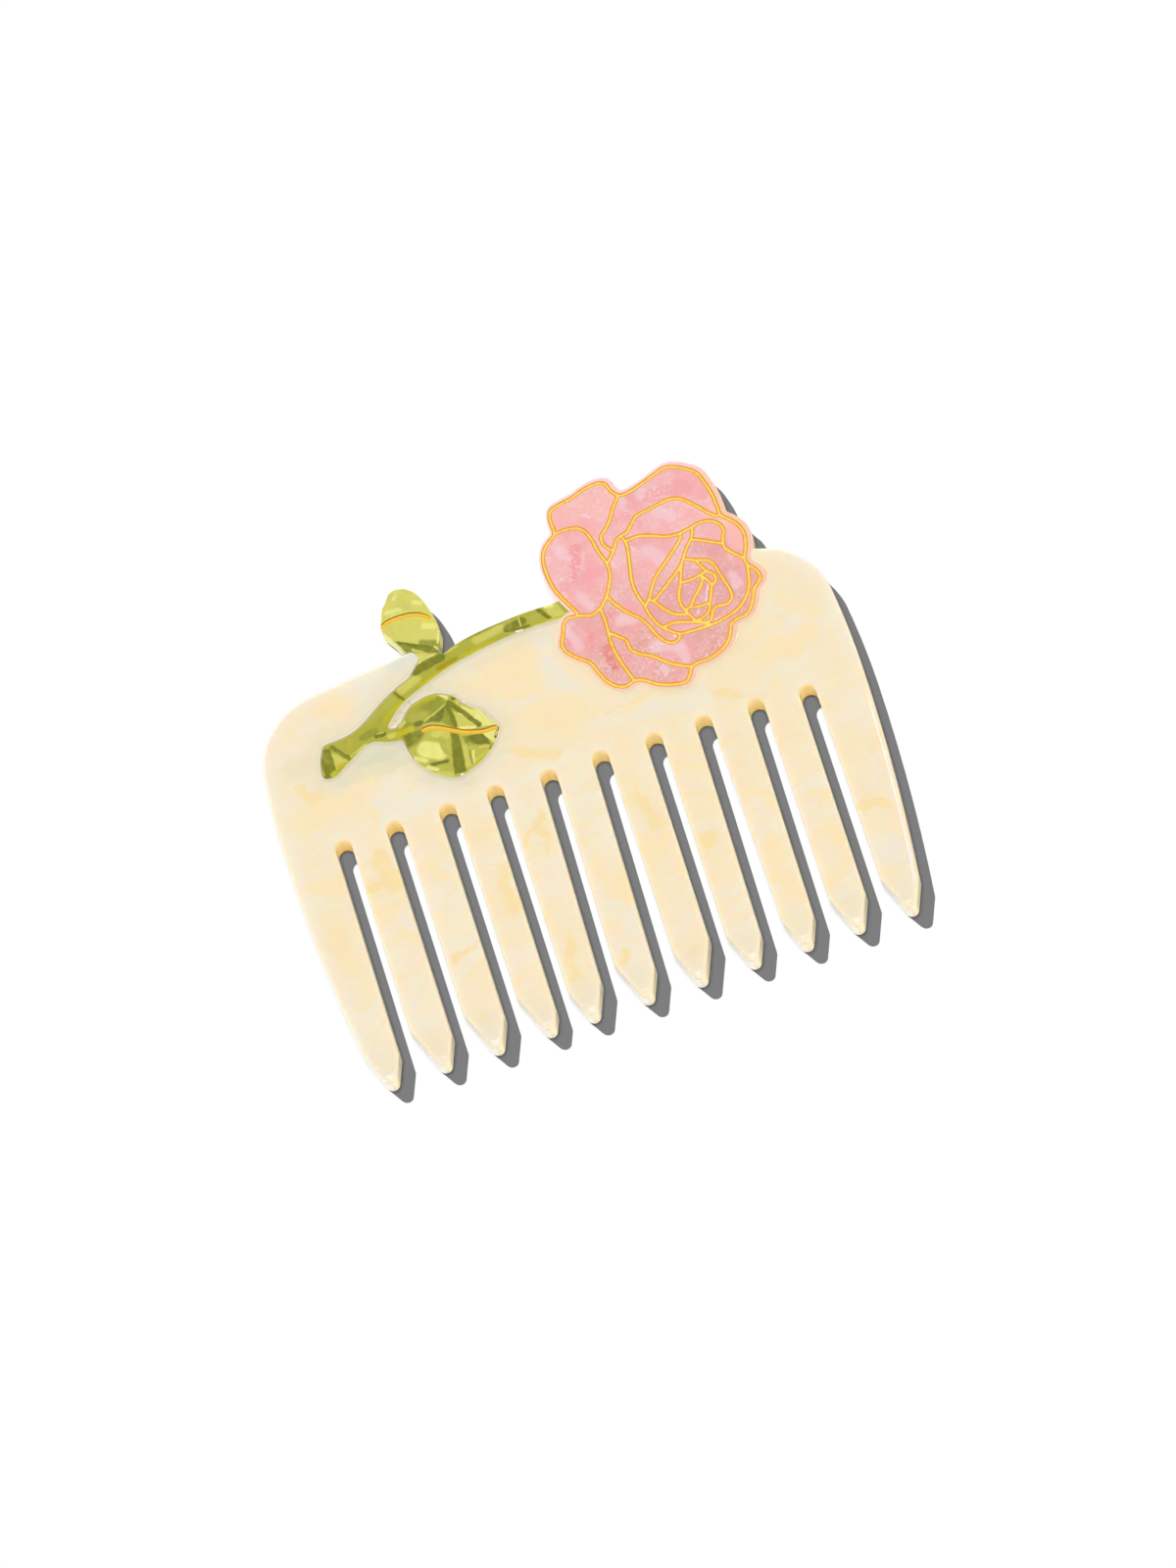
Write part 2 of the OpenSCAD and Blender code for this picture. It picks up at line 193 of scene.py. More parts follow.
def roundRims(piece, widthOf, steps):
    # widthOf gives the rounding wanted at a rim's point;
    # tight corners get less, so that no rim crosses itself
    mesh = piece.data
    levels = (min(v.co.z for v in mesh.vertices), max(v.co.z for v in mesh.vertices))

    def atLevel(z):
        return min(abs(z - level) for level in levels) < near

    selectFaces(piece, lambda face: atLevel(face.center.z) and abs(face.normal.z) > lying)
    for step in range(steps):
        bpy.ops.mesh.inset(thickness=rounding["ringGap"])
    bpy.ops.object.mode_set(mode="OBJECT")

    # the rims, and which way their points may move
    walls = wallsOf(mesh)
    outwards, rimEdges, joined = {}, [], {}
    for key, faces in edgeFaces(mesh).items():
        wall = [f for f in faces if abs(f.normal.z) < upright]
        if len(wall) == 0:
            joined.setdefault(key[0], []).append(key[1])
            joined.setdefault(key[1], []).append(key[0])
        elif len(wall) == 1 and atLevel(mesh.vertices[key[0]].co.z):
            rimEdges.append(key)
            for i in key:
                outwards.setdefault(i, []).append(wall[0].normal.copy())

    start = {i: mesh.vertices[i].co.copy() for i in outwards}
    inward, width = {}, {}
    for i, normals in outwards.items():
        total = sum(normals, Vector())
        if len(normals) == 2 and total.length > rounding["sharpest"]:
            inward[i] = -total / (1 + normals[0].dot(normals[1]))
            width[i] = widthOf(start[i], total.normalized())
        else:
            inward[i] = Vector()
            width[i] = rounding["least"]
        if inward[i].length > rounding["longest"]:
            inward[i] *= rounding["longest"] / inward[i].length
    for i in width:
        while width[i] > rounding["enough"]:
            free = distanceTo(walls, start[i] + inward[i] * width[i])
            if free > rounding["room"] * width[i]:
                break
            width[i] *= rounding["narrower"]

    # each new point's ring, and the rim's point that it came from
    source, ringOf = {i: i for i in outwards}, {i: 0 for i in outwards}
    ring = list(outwards)
    for step in range(1, steps + 1):
        following = []
        for i in ring:
            for j in joined.get(i, []):
                if j not in source:
                    source[j], ringOf[j] = source[i], step
                    following.append(j)
        ring = following

    caps = [list(f.vertices) for f in mesh.polygons if all(ringOf.get(i) == steps for i in f.vertices)]
    for settle in range(rounding["rounds"]):
        crossed = False
        for a, b in rimEdges:
            along = start[b] - start[a]
            for i, j in ((a, b), (b, a)):
                width[i] = min(width[i], width[j] + rounding["slope"] * along.length)
            moved = along + inward[b] * width[b] - inward[a] * width[a]
            if moved.dot(along) < rounding["shortest"] * along.length_squared:
                width[a] *= rounding["shrink"]
                width[b] *= rounding["shrink"]
                crossed = True
        for cap in caps:
            rims = [source[i] for i in cap]
            for i in crossingCorners([start[r] + inward[r] * width[r] for r in rims]):
                width[rims[i]] *= rounding["shrink"]
                crossed = True
        if not crossed:
            break

    # a quarter circle from the wall to the flat face
    for i, rim in source.items():
        turn = radians(90) * ringOf[i] / steps
        side = 1 if start[rim].z > sum(levels) / 2 else -1
        place = start[rim] + inward[rim] * width[rim] * (1 - cos(turn))
        place.z -= side * width[rim] * (1 - sin(turn))
        mesh.vertices[i].co = place
    mesh.update()


def gridFace(piece, pitch, rangeX, rangeY):
    # cuts the front face into small squares, so that distances can be kept at its points
    top = max(v.co.z for v in piece.data.vertices)
    for (low, high), across in ((rangeX, Vector((1, 0, 0))), (rangeY, Vector((0, 1, 0)))):
        for n in range(int((high - low) / pitch) + 1):
            selectFaces(piece, lambda face: face.normal.z > lying and face.center.z > top - near)
            bpy.ops.mesh.bisect(plane_co=across * (low + n * pitch), plane_no=across)
    bpy.ops.object.mode_set(mode="OBJECT")


def keepValue(piece, name, valueAt):
    # stores a number at each point of the piece, for its material
    stored = piece.data.attributes.new(name, "FLOAT", "POINT")
    for i, vert in enumerate(piece.data.vertices):
        stored.data[i].value = valueAt(vert.co)


def keepDistance(piece, name, tree, most):
    # in millimetres, up to the most
    keepValue(piece, name, lambda point: distanceTo(tree, point, most * mm) / mm)


def keepFlatsFlat(piece):
    makeActive(piece)
    bpy.ops.object.shade_smooth()
    bpy.ops.object.modifier_add(type="WEIGHTED_NORMAL")
    piece.modifiers[-1].keep_sharp = True
    bpy.ops.object.modifier_apply(modifier=piece.modifiers[-1].name)


def finishPiece(piece, material, slotName, *nodeNames):
    piece.data.materials.clear()
    piece.data.materials.append(material)
    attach(piece, body)
    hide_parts(*nodeNames)
    print(f"{piece.name}: {len(piece.data.polygons)} faces")


# Helpers for materials

def addNode(tree, kind, inputs=None, **settings):
    made = tree.nodes.new(kind)
    for name, value in settings.items():
        setattr(made, name, value)
    for socket, value in (inputs or {}).items():
        if isinstance(value, bpy.types.NodeSocket):
            tree.links.new(value, made.inputs[socket])
        else:
            made.inputs[socket].default_value = value
    return made


def calc(tree, operation, *values):
    return addNode(tree, "ShaderNodeMath", dict(enumerate(values)), operation=operation).outputs[0]


def product(tree, *values):
    total = values[0]
    for value in values[1:]:
        total = calc(tree, "MULTIPLY", total, value)
    return total


def vectorCalc(tree, operation, *values):
    made = addNode(tree, "ShaderNodeVectorMath", dict(enumerate(values)), operation=operation)
    return made.outputs["Value" if operation in ("DOT_PRODUCT", "DISTANCE") else "Vector"]


def scaled(tree, vector, amount):
    inputs = {0: vector, "Scale": amount}
    return addNode(tree, "ShaderNodeVectorMath", inputs, operation="SCALE").outputs["Vector"]


def axes(tree, point):
    return tuple(addNode(tree, "ShaderNodeSeparateXYZ", {0: point}).outputs)


def noise(tree, place, fineness, detail, roughness=0.5):
    inputs = {"Vector": place, "Scale": fineness, "Detail": detail, "Roughness": roughness}
    return addNode(tree, "ShaderNodeTexNoise", inputs).outputs


def aroundZero(tree, colour):
    # noise is 0.5 on average
    return vectorCalc(tree, "SUBTRACT", colour, (0.5, 0.5, 0.5))


def kept(tree, name):
    # a number that was stored at the piece's points
    return addNode(tree, "ShaderNodeAttribute", attribute_name=name).outputs["Fac"]


def ramp(tree, value, low, high, share=1.0):
    # 0 at low and the given share at high, with a soft start and end
    inputs = {"Value": value, "From Min": low, "From Max": high, "To Max": share}
    return addNode(tree, "ShaderNodeMapRange", inputs, interpolation_type="SMOOTHSTEP").outputs[0]


def band(tree, value, start, full, fading, end, share=1.0):
    # the given share between full and fading, and 0 outside start and end
    return product(tree, ramp(tree, value, start, full), ramp(tree, value, end, fading, share))


def spread(tree, value, low, high, least):
    # from the least at low evenly to 1 at high
    inputs = {"Value": value, "From Min": low, "From Max": high, "To Min": least}
    return addNode(tree, "ShaderNodeMapRange", inputs).outputs[0]


def ownColour(tone):
    # the tones below are as the lit face should look; the surface itself is darker than that
    litShare = 0.905
    return (*[channel * litShare for channel in tone], 1)


def blend(tree, amount, colour, other):
    # the node's sockets for colours are these, and 2, 3 and 0 those for numbers
    return addNode(tree, "ShaderNodeMix", {0: amount, 6: colour, 7: other}, data_type="RGBA").outputs[2]


def blendNumbers(tree, amount, number, other):
    return addNode(tree, "ShaderNodeMix", {0: amount, 2: number, 3: other}).outputs[0]


def painter(tree, tones):
    # for one material: tint brings in a tone by the product of some amounts, between joins two tones
    def tint(colour, tone, *amounts):
        return blend(tree, product(tree, *amounts), colour, ownColour(tones[tone]))

    def between(amount, tone, other):
        return blend(tree, amount, ownColour(tones[tone]), ownColour(tones[other]))

    return tint, between


def newGroup(name, inputs, outputs):
    tree = bpy.data.node_groups.new(name, "ShaderNodeTree")
    for socket, kind in inputs.items():
        tree.interface.new_socket(socket, in_out="INPUT", socket_type="NodeSocket" + kind)
    for socket, kind in outputs.items():
        tree.interface.new_socket(socket, in_out="OUTPUT", socket_type="NodeSocket" + kind)
    return tree, tree.nodes.new("NodeGroupInput").outputs, tree.nodes.new("NodeGroupOutput").inputs


def useGroup(tree, group, inputs):
    return addNode(tree, "ShaderNodeGroup", inputs, node_tree=group).outputs


def newMaterial(name, **sockets):
    material = bpy.data.materials.new(name)
    material.use_nodes = True
    shader = material.node_tree.nodes["Principled BSDF"]
    for socket, value in sockets.items():
        shader.inputs[socket.replace("_", " ")].default_value = value
    return material, material.node_tree, shader.inputs


# A soft stroke of colour between two points, in millimetres on the face
softStroke, given, result = newGroup(
    "softStroke",
    {"Place": "Vector", "From": "Vector", "To": "Vector", "Radius": "Float", "Blur": "Float"},
    {"Mask": "Float"})
away = vectorCalc(softStroke, "SUBTRACT", given["Place"], given["From"])
along = vectorCalc(softStroke, "SUBTRACT", given["To"], given["From"])
share = calc(softStroke, "DIVIDE", vectorCalc(softStroke, "DOT_PRODUCT", away, along),
             vectorCalc(softStroke, "DOT_PRODUCT", along, along))
share = addNode(softStroke, "ShaderNodeClamp", {"Value": share}).outputs[0]
gap = vectorCalc(softStroke, "DISTANCE", away, scaled(softStroke, along, share))
outer = calc(softStroke, "ADD", given["Radius"], given["Blur"])
softStroke.links.new(ramp(softStroke, gap, outer, given["Radius"]), result["Mask"])

# A facet with four straight sides, each side a line equation in the face's millimetres
facet, given, result = newGroup(
    "facet",
    {"Place": "Vector", "Side 1": "Vector", "Side 2": "Vector", "Side 3": "Vector",
     "Side 4": "Vector", "Blur": "Float"},
    {"Mask": "Float"})
sides = [vectorCalc(facet, "DOT_PRODUCT", given["Place"], given[f"Side {n}"]) for n in (1, 2, 3, 4)]
inner = calc(facet, "MINIMUM", calc(facet, "MINIMUM", sides[0], sides[1]),
             calc(facet, "MINIMUM", sides[2], sides[3]))
facet.links.new(ramp(facet, inner, calc(facet, "MULTIPLY", given["Blur"], -1.0), given["Blur"]),
                result["Mask"])

# Marbling of cast acetate: drifting clouds and thin streaks
marble = dict(
    swirl=(0.7, 1.5), cloud=(1.0, 3.0, 0.55), streak=(1.1, 2.0),  # fineness, detail and roughness
    streakShift=(7, 3, 1), streakStretch=(0.6, 1.7, 1), streakWidth=0.045,
)
marbling, given, result = newGroup(
    "marbling", {"Place": "Vector", "Size": "Float", "Drift": "Float"},
    {"Cloud": "Float", "Streak": "Float"})
place = scaled(marbling, given["Place"], calc(marbling, "DIVIDE", 1.0, given["Size"]))
swirl = aroundZero(marbling, noise(marbling, place, *marble["swirl"])["Color"])
flow = vectorCalc(marbling, "ADD", place, scaled(marbling, swirl, given["Drift"]))
marbling.links.new(noise(marbling, flow, *marble["cloud"])["Fac"], result["Cloud"])
drawn = addNode(marbling, "ShaderNodeMapping", {
    "Vector": flow, "Location": marble["streakShift"], "Scale": marble["streakStretch"]}).outputs[0]
streak = noise(marbling, drawn, *marble["streak"])["Fac"]
ridge = calc(marbling, "ABSOLUTE", calc(marbling, "SUBTRACT", streak, 0.5))
marbling.links.new(ramp(marbling, ridge, marble["streakWidth"], 0.0), result["Streak"])

# Hand-polished surface: gloss that varies a little, and a faint waviness
polishing = dict(wave=(0.35, 2.0), rub=(2.5, 3.0), unevenness=0.12)
polish, given, result = newGroup(
    "polish", {"Place": "Vector", "Gloss": "Float"}, {"Roughness": "Float", "Height": "Float"})
rub = calc(polish, "SUBTRACT", noise(polish, given["Place"], *polishing["rub"])["Fac"], 0.5)
rub = calc(polish, "MULTIPLY", rub, polishing["unevenness"])
polish.links.new(calc(polish, "ADD", given["Gloss"], rub), result["Roughness"])
polish.links.new(noise(polish, given["Place"], *polishing["wave"])["Fac"], result["Height"])


def millimetres(tree):
    point = tree.nodes.new("ShaderNodeTexCoord").outputs["Object"]
    return vectorCalc(tree, "MULTIPLY", point, (1 / mm, 1 / mm, 1 / mm))


def onFace(tree, point):
    # the 1 at the end lets a side's line equation be worked out as one dot product
    return vectorCalc(tree, "ADD", vectorCalc(tree, "MULTIPLY", point, (1, 1, 0)), (0, 0, 1))


def raggedFace(tree, point, reach, fineness, detail=3.0):
    # the point on the face, moved about so that what is painted there gets ragged edges
    push = aroundZero(tree, noise(tree, point, fineness, detail)["Color"])
    push = vectorCalc(tree, "MULTIPLY", push, (reach, reach, 0))
    return onFace(tree, vectorCalc(tree, "ADD", point, push))


def marbled(tree, place, size, drift):
    return useGroup(tree, marbling, {"Place": place, "Size": size, "Drift": drift})


def shapeMask(tree, face, blur, points):
    # two points and a radius make a stroke, four corners a facet
    if len(points) == 3:
        start, end, radius = points
        inputs = {"Place": face, "From": (*start, 1), "To": (*end, 1), "Radius": radius, "Blur": blur}
        return useGroup(tree, softStroke, inputs)["Mask"]
    if sum(a[0] * b[1] - b[0] * a[1] for a, b in zip(points, points[1:] + points[:1])) < 0:
        points = points[::-1]
    inputs = {"Place": face, "Blur": blur}
    for n, (a, b) in enumerate(zip(points, points[1:] + points[:1]), 1):
        size = hypot(b[0] - a[0], b[1] - a[1])
        x, y = (a[1] - b[1]) / size, (b[0] - a[0]) / size
        inputs[f"Side {n}"] = (x, y, -(x * a[0] + y * a[1]))
    return useGroup(tree, facet, inputs)["Mask"]


# the marks were charted on a view that was turned and shifted a little
chart = dict(slope=0.0108, lift=0.14)  # in mm for each mm to the right, and in mm


def levelled(entry):
    # a stroke's radius stays as it is
    if isinstance(entry, tuple):
        x, y = entry
        return x, y - chart["slope"] * x + chart["lift"]
    return entry


def paintShapes(tree, tint, colour, face, shapes, strength):
    for tone, blur, *points in shapes:
        mask = shapeMask(tree, face, blur, [levelled(p) for p in points])
        colour = tint(colour, tone, mask, strength)
    return colour


def finishAcetate(tree, sockets, point, colour, look):
    tree.links.new(colour, sockets["Base Color"])
    polished = useGroup(tree, polish, {"Place": point, "Gloss": look["gloss"]})
    tree.links.new(polished["Roughness"], sockets["Roughness"])
    bump = addNode(tree, "ShaderNodeBump", {"Height": polished["Height"], "Strength": 1.0,
                                            "Distance": look["waviness"]})
    tree.links.new(bump.outputs[0], sockets["Normal"])


# Cream acetate of the plate. A painted shape is a tone, a blur, and a stroke or a facet;
# a ramp's numbers say where it starts, where it is full, and how strong it is there

creamTones = dict(
    light=(0.94, 0.855, 0.68), plain=(0.955, 0.83, 0.59), peach=(0.97, 0.82, 0.54),
    amber=(0.96, 0.785, 0.445), cool=(0.91, 0.85, 0.71), dusk=(0.89, 0.80, 0.60),
    grey=(0.82, 0.775, 0.57), shade=(0.74, 0.73, 0.56), lime=(0.95, 0.83, 0.60),
    roseGlow=(0.955, 0.68, 0.46), edge=(0.915, 0.87, 0.74), frost=(0.79, 0.80, 0.72),
    greenHaloShade=(0.835, 0.78, 0.60), seam=(0.66, 0.62, 0.45), seamHighlight=(0.88, 0.90, 0.84),
    groove=(0.40, 0.34, 0.22), tip=(0.88, 0.82, 0.64), edgeHighlight=(0.99, 0.975, 0.94),
    wall=(0.80, 0.685, 0.45), leftWallShade=(0.73, 0.67, 0.55), tipWallShade=(0.665, 0.62, 0.52),
    shadedWall=(0.86, 0.75, 0.50), root=(0.92, 0.68, 0.31), rootGlowLow=(0.91, 0.58, 0.14))
# the grey and shade strokes under and beside the green piece are painted shade
plateShapes = [
    ("peach", 1, (-11.5, 16.5), (-2, 14.5), 2.2),
    ("peach", 0.9, (-9, 19.6), (-2, 19.6), 1.6),
    ("peach", 1.2, (-36.5, 21.6), (-33.6, 21.4), 1.2),
    ("amber", 1.2, (-43.6, 8.4), (-42, 6), 0.7),
    ("peach", 1.5, (-45.6, 3), (-38, 4.6), 0.8),
    ("peach", 1, (-34, -2), (-33.4, 0.6), 0.5),
    ("cool", 1.4, (-31.6, -1.6), (-31, 1.6), 0.9),
    ("cool", 2, (-28, -0.4), (-20, 0.6), 1.2),
    ("dusk", 2.2, (-44.6, 12.6), (-41.4, 12.8), 0.8),
    ("grey", 1.6, (-37, 8.6), (-27.2, 8.2), 0.9),
    ("shade", 1.3, (-34, 10.6), (-26.6, 10.8), 0.8),
    ("cool", 2.2, (-30, 21.2), (-22, 24.4), 1.2),
    ("grey", 0.6, (-27, 15), (-22.4, 17.8), 0.6),
    ("cool", 0.8, (-21, 18.2), (-15.6, 17.8), 0.5),
    ("grey", 0.9, (-23.4, 4.4), (-16.6, 0.8), 0.4),
    ("cool", 1.4, (0.8, 21.8), (3.4, 20), 1),
    ("cool", 1.6, (1, 16), (3.4, 11), 1),
    ("amber", 0.9, (-8, 2.8), (-2.4, 0.4), 0.4),
    ("peach", 1.6, (-3.6, 8.6), (3, 7), 0.9),
    ("amber", 0.25, (7, 4.8), (14.6, 5.2), 0.08),
    ("cool", 1.4, (13.6, 2.4), (24, 3), 0.7),
    ("amber", 0.8, (25.8, 1.6), (33, -1), 0.4),
    ("peach", 1.6, (36, 6), (43.6, 7), 1.2),
    ("lime", 2.4, (41, 22), (47, 14), 1.6),
    ("peach", 1.2, (41, 14.6), (45, 11), 0.8),
    ("peach", 1.4, (-48, -8.6), (-42.6, -10.4), 0.8),
    ("peach", 1.4, (-46, -18), (-44, -28), 0.9),
    ("amber", 0.9, (-35, -7.6), (-33.6, -13.4), 0.8),
    ("amber", 0.8, (-38, -12.2), (-35, -12.6), 0.5),
    ("cool", 0.8, (-33.8, -17.4), (-33.8, -21), 0.4),
    ("amber", 0.35, (-28.6, -28.9), (-24.4, -27.2), 0.3),
    ("peach", 0.9, (-28, -11.4), (-26, -14.6), 0.6),
    ("amber", 0.5, (-27.6, -41), (-26.2, -41.2), 0.2),
    ("amber", 1.2, (-16.6, -17), (-16.4, -23), 0.6),
    ("amber", 0.6, (-11.4, -14), (-8, -9.4), 0.35),
    ("amber", 0.6, (-8.6, -16), (-7.6, -8), 0.3),
    ("amber", 0.9, (-10.8, -37.6), (-9.4, -32.4), 0.5),
    ("peach", 1.3, (-1.6, -20), (1, -27.6), 0.8),
    ("cool", 0.9, (1.2, -29.6), (0.6, -33), 0.4),
    ("amber", 0.6, (-2.4, -38.6), (-1.8, -37), 0.3),
    ("amber", 1, (8.4, -11.6), (10, -16.8), 0.6),
    ("peach", 1, (6.4, -20.8), (10.6, -20.2), 0.6),
    ("amber", 0.8, (8, -41.4), (10, -41), 0.4),
    ("amber", 0.7, (17, -23.4), (18.2, -21.8), 0.5),
    ("peach", 0.5, (15.8, -9), (20.2, -9.8), 0.4),
    ("peach", 1, (25.6, -16), (28.8, -19.4), 0.6),
    ("peach", 1, (26.6, -26), (27.2, -36), 0.7),
    ("peach", 0.8, (34, -21.4), (37.4, -20.8), 0.4),
    ("peach", 0.9, (36.6, -26.4), (37.6, -30.4), 0.5),
    ("amber", 0.8, (43.4, -24.8), (46.4, -26.4), 0.5),
    ("cool", 2, (43.6, -33), (47.4, -36), 1.4),
]

# the middles of the slots' round ends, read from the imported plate, in mm
slots = dict(count=10, pitch=8.9389, radius=1.375, lowest=-3.2, highest=-1.2, reach=2)
slotEnds = []
for n in range(slots["count"]):
    middle = slots["pitch"] * (n - (slots["count"] - 1) / 2)
    rim = [v.co / mm for v in frame["nodes"]["comb_plate"].data.vertices
           if abs(v.co.x / mm - middle) < slots["reach"]
           and slots["lowest"] < v.co.y / mm < slots["highest"]]
    slotEnds.append(((min(p.x for p in rim) + max(p.x for p in rim)) / 2,
                     max(p.y for p in rim) - slots["radius"]))

cream = dict(
    wander=(5.0, 0.3),  # how far painted edges wander, and how finely
    grainTurn=-18, grainStretch=(0.8, 1.3, 1),
    broad=(9.0, 1.6), fine=(3.5, 2.2),  # size and drift of the marbling
    clouds=(0.38, 0.62), veils=(0.5, 0.72, 0.5), coolStreaks=0.42, amberStreaks=0.35,
    patches=(0.35, 0.6, 0.6),
    roseGlow=(1.6, 0.1, 0.35),  # mm from the rose
    greenHaloShade=(4.5, 0.8, 0.6), seam=(1.1, 0.0, 0.85),  # mm from the green piece
    seamHighlight=(0.24, 0.34, 0.42, 0.62, 0.6), groove=(0.28, 0.14, 0.75), above=(0.2, 0.7),
    edge=(3.2, 0.2, 0.7), bodyUp=(-8.0, 3.0), bodyLeft=(-42.0, -46.0),
    frost=((-22.6, 25.2), (-20.6, 25.9), 0.7), frostBlur=1.6, frostShare=0.8,
    wall=(3.995, 3.8, 0.85), wallSide=(-0.3, 0.3),  # mm above the back, and facing right
    tips=(-37.0, -43.5, 0.8), tipSide=(0.0, 0.5),
    tipHighlight=(0.5, 0.7, 0.85, 1.1), tipHighlightAt=(-43.9, -44.5),
    flankHighlight=(0.5, 0.65, 0.8, 0.95), flankHighlightAt=(46.0, 47.5), flankHighlightFrom=(-5.0, -11.0),
    edgeHighlight=0.8,
    rootHeights=(3.6, 0.6), rootSide=0.1, rootUp=0.3, rootRadius=1.2, rootBlur=0.45,
    gloss=0.22, waviness=0.02 * mm,
)
creamMaterial, tree, sockets = newMaterial(
    "creamAcetate", Subsurface_Weight=1.0, Subsurface_Radius=(1.0, 0.55, 0.25), Subsurface_Scale=0.0012,
    IOR=1.48)
tint, between = painter(tree, creamTones)
point = millimetres(tree)
face = raggedFace(tree, point, *cream["wander"])
sideways, lengthways, height = axes(tree, point)
grain = addNode(tree, "ShaderNodeMapping", {
    "Vector": point, "Rotation": (0, 0, radians(cream["grainTurn"])),
    "Scale": cream["grainStretch"]}).outputs[0]
broad = marbled(tree, grain, *cream["broad"])
fine = marbled(tree, grain, *cream["fine"])
colour = between(ramp(tree, broad["Cloud"], *cream["clouds"]), "light", "plain")
colour = tint(colour, "peach", ramp(tree, fine["Cloud"], *cream["veils"]))
colour = tint(colour, "cool", fine["Streak"], cream["coolStreaks"])
colour = tint(colour, "amber", broad["Streak"], cream["amberStreaks"])
patchy = spread(tree, fine["Cloud"], *cream["patches"])
colour = paintShapes(tree, tint, colour, face, plateShapes, patchy)
besideGreen = kept(tree, "besideGreen")
# painted glow: the cream warms towards the rose, as its pink light shows through
colour = tint(colour, "roseGlow", ramp(tree, kept(tree, "besideRose"), *cream["roseGlow"]))
# painted shade: the cream darkens and greys towards the green piece, most at its seam
colour = tint(colour, "greenHaloShade", ramp(tree, besideGreen, *cream["greenHaloShade"]))
colour = tint(colour, "seam", ramp(tree, besideGreen, *cream["seam"]))
# painted light: the body has a pale border where its translucent edge catches the light
rimDistance = kept(tree, "rimDistance")
onBody = calc(tree, "MAXIMUM", ramp(tree, lengthways, *cream["bodyUp"]),
              ramp(tree, sideways, *cream["bodyLeft"]))
colour = tint(colour, "edge", ramp(tree, rimDistance, *cream["edge"]), onBody)
frosted = shapeMask(tree, face, cream["frostBlur"], cream["frost"])
colour = tint(colour, "frost", frosted, cream["frostShare"])
# painted glow and shade on the walls: light that went in at the face comes out warm there, and walls facing
# left, facing right and at the tips each get a tone set for how light falls on them
facesRight = kept(tree, "facesRight")
onWall = ramp(tree, height, *cream["wall"])
wallGlowAndShade = between(ramp(tree, facesRight, *cream["wallSide"]), "leftWallShade", "wall")
colour = blend(tree, onWall, colour, wallGlowAndShade)
tipWallShade = between(ramp(tree, facesRight, *cream["tipSide"]), "tipWallShade", "shadedWall")
tipColour = blend(tree, onWall, ownColour(creamTones["tip"]), tipWallShade)
colour = blend(tree, ramp(tree, lengthways, *cream["tips"]), colour, tipColour)
# painted shadow and highlight at the inlay's seam: a dark shadow line with a pale highlight beside it, where
# it looks down to the right
above = ramp(tree, kept(tree, "aboveGreen"), *cream["above"])
colour = tint(colour, "seamHighlight", band(tree, besideGreen, *cream["seamHighlight"]), above)
colour = tint(colour, "groove", ramp(tree, besideGreen, *cream["groove"]), above)
# painted highlights: thin bright lines where the polished edge turns, at each tip and down the last tooth
tipHighlight = product(tree, band(tree, rimDistance, *cream["tipHighlight"]),
                  ramp(tree, lengthways, *cream["tipHighlightAt"]))
flankHighlight = product(tree, band(tree, rimDistance, *cream["flankHighlight"]),
                    ramp(tree, sideways, *cream["flankHighlightAt"]),
                    ramp(tree, lengthways, *cream["flankHighlightFrom"]))
colour = tint(colour, "edgeHighlight", calc(tree, "MAXIMUM", tipHighlight, flankHighlight), cream["edgeHighlight"])
# painted glow: the round ends of the slots are painted orange, as light shining through the acetate, deeper
# towards the bottom
face = onFace(tree, point)
rootGlowColour = between(ramp(tree, height, *cream["rootHeights"]), "root", "rootGlowLow")
for x, y in slotEnds:
    glow = ((x - cream["rootSide"], y + cream["rootUp"]), (x + cream["rootSide"], y + cream["rootUp"]),
            cream["rootRadius"])
    colour = blend(tree, shapeMask(tree, face, cream["rootBlur"], glow), colour, rootGlowColour)
finishAcetate(tree, sockets, point, colour, cream)

# Pink acetate of the rose

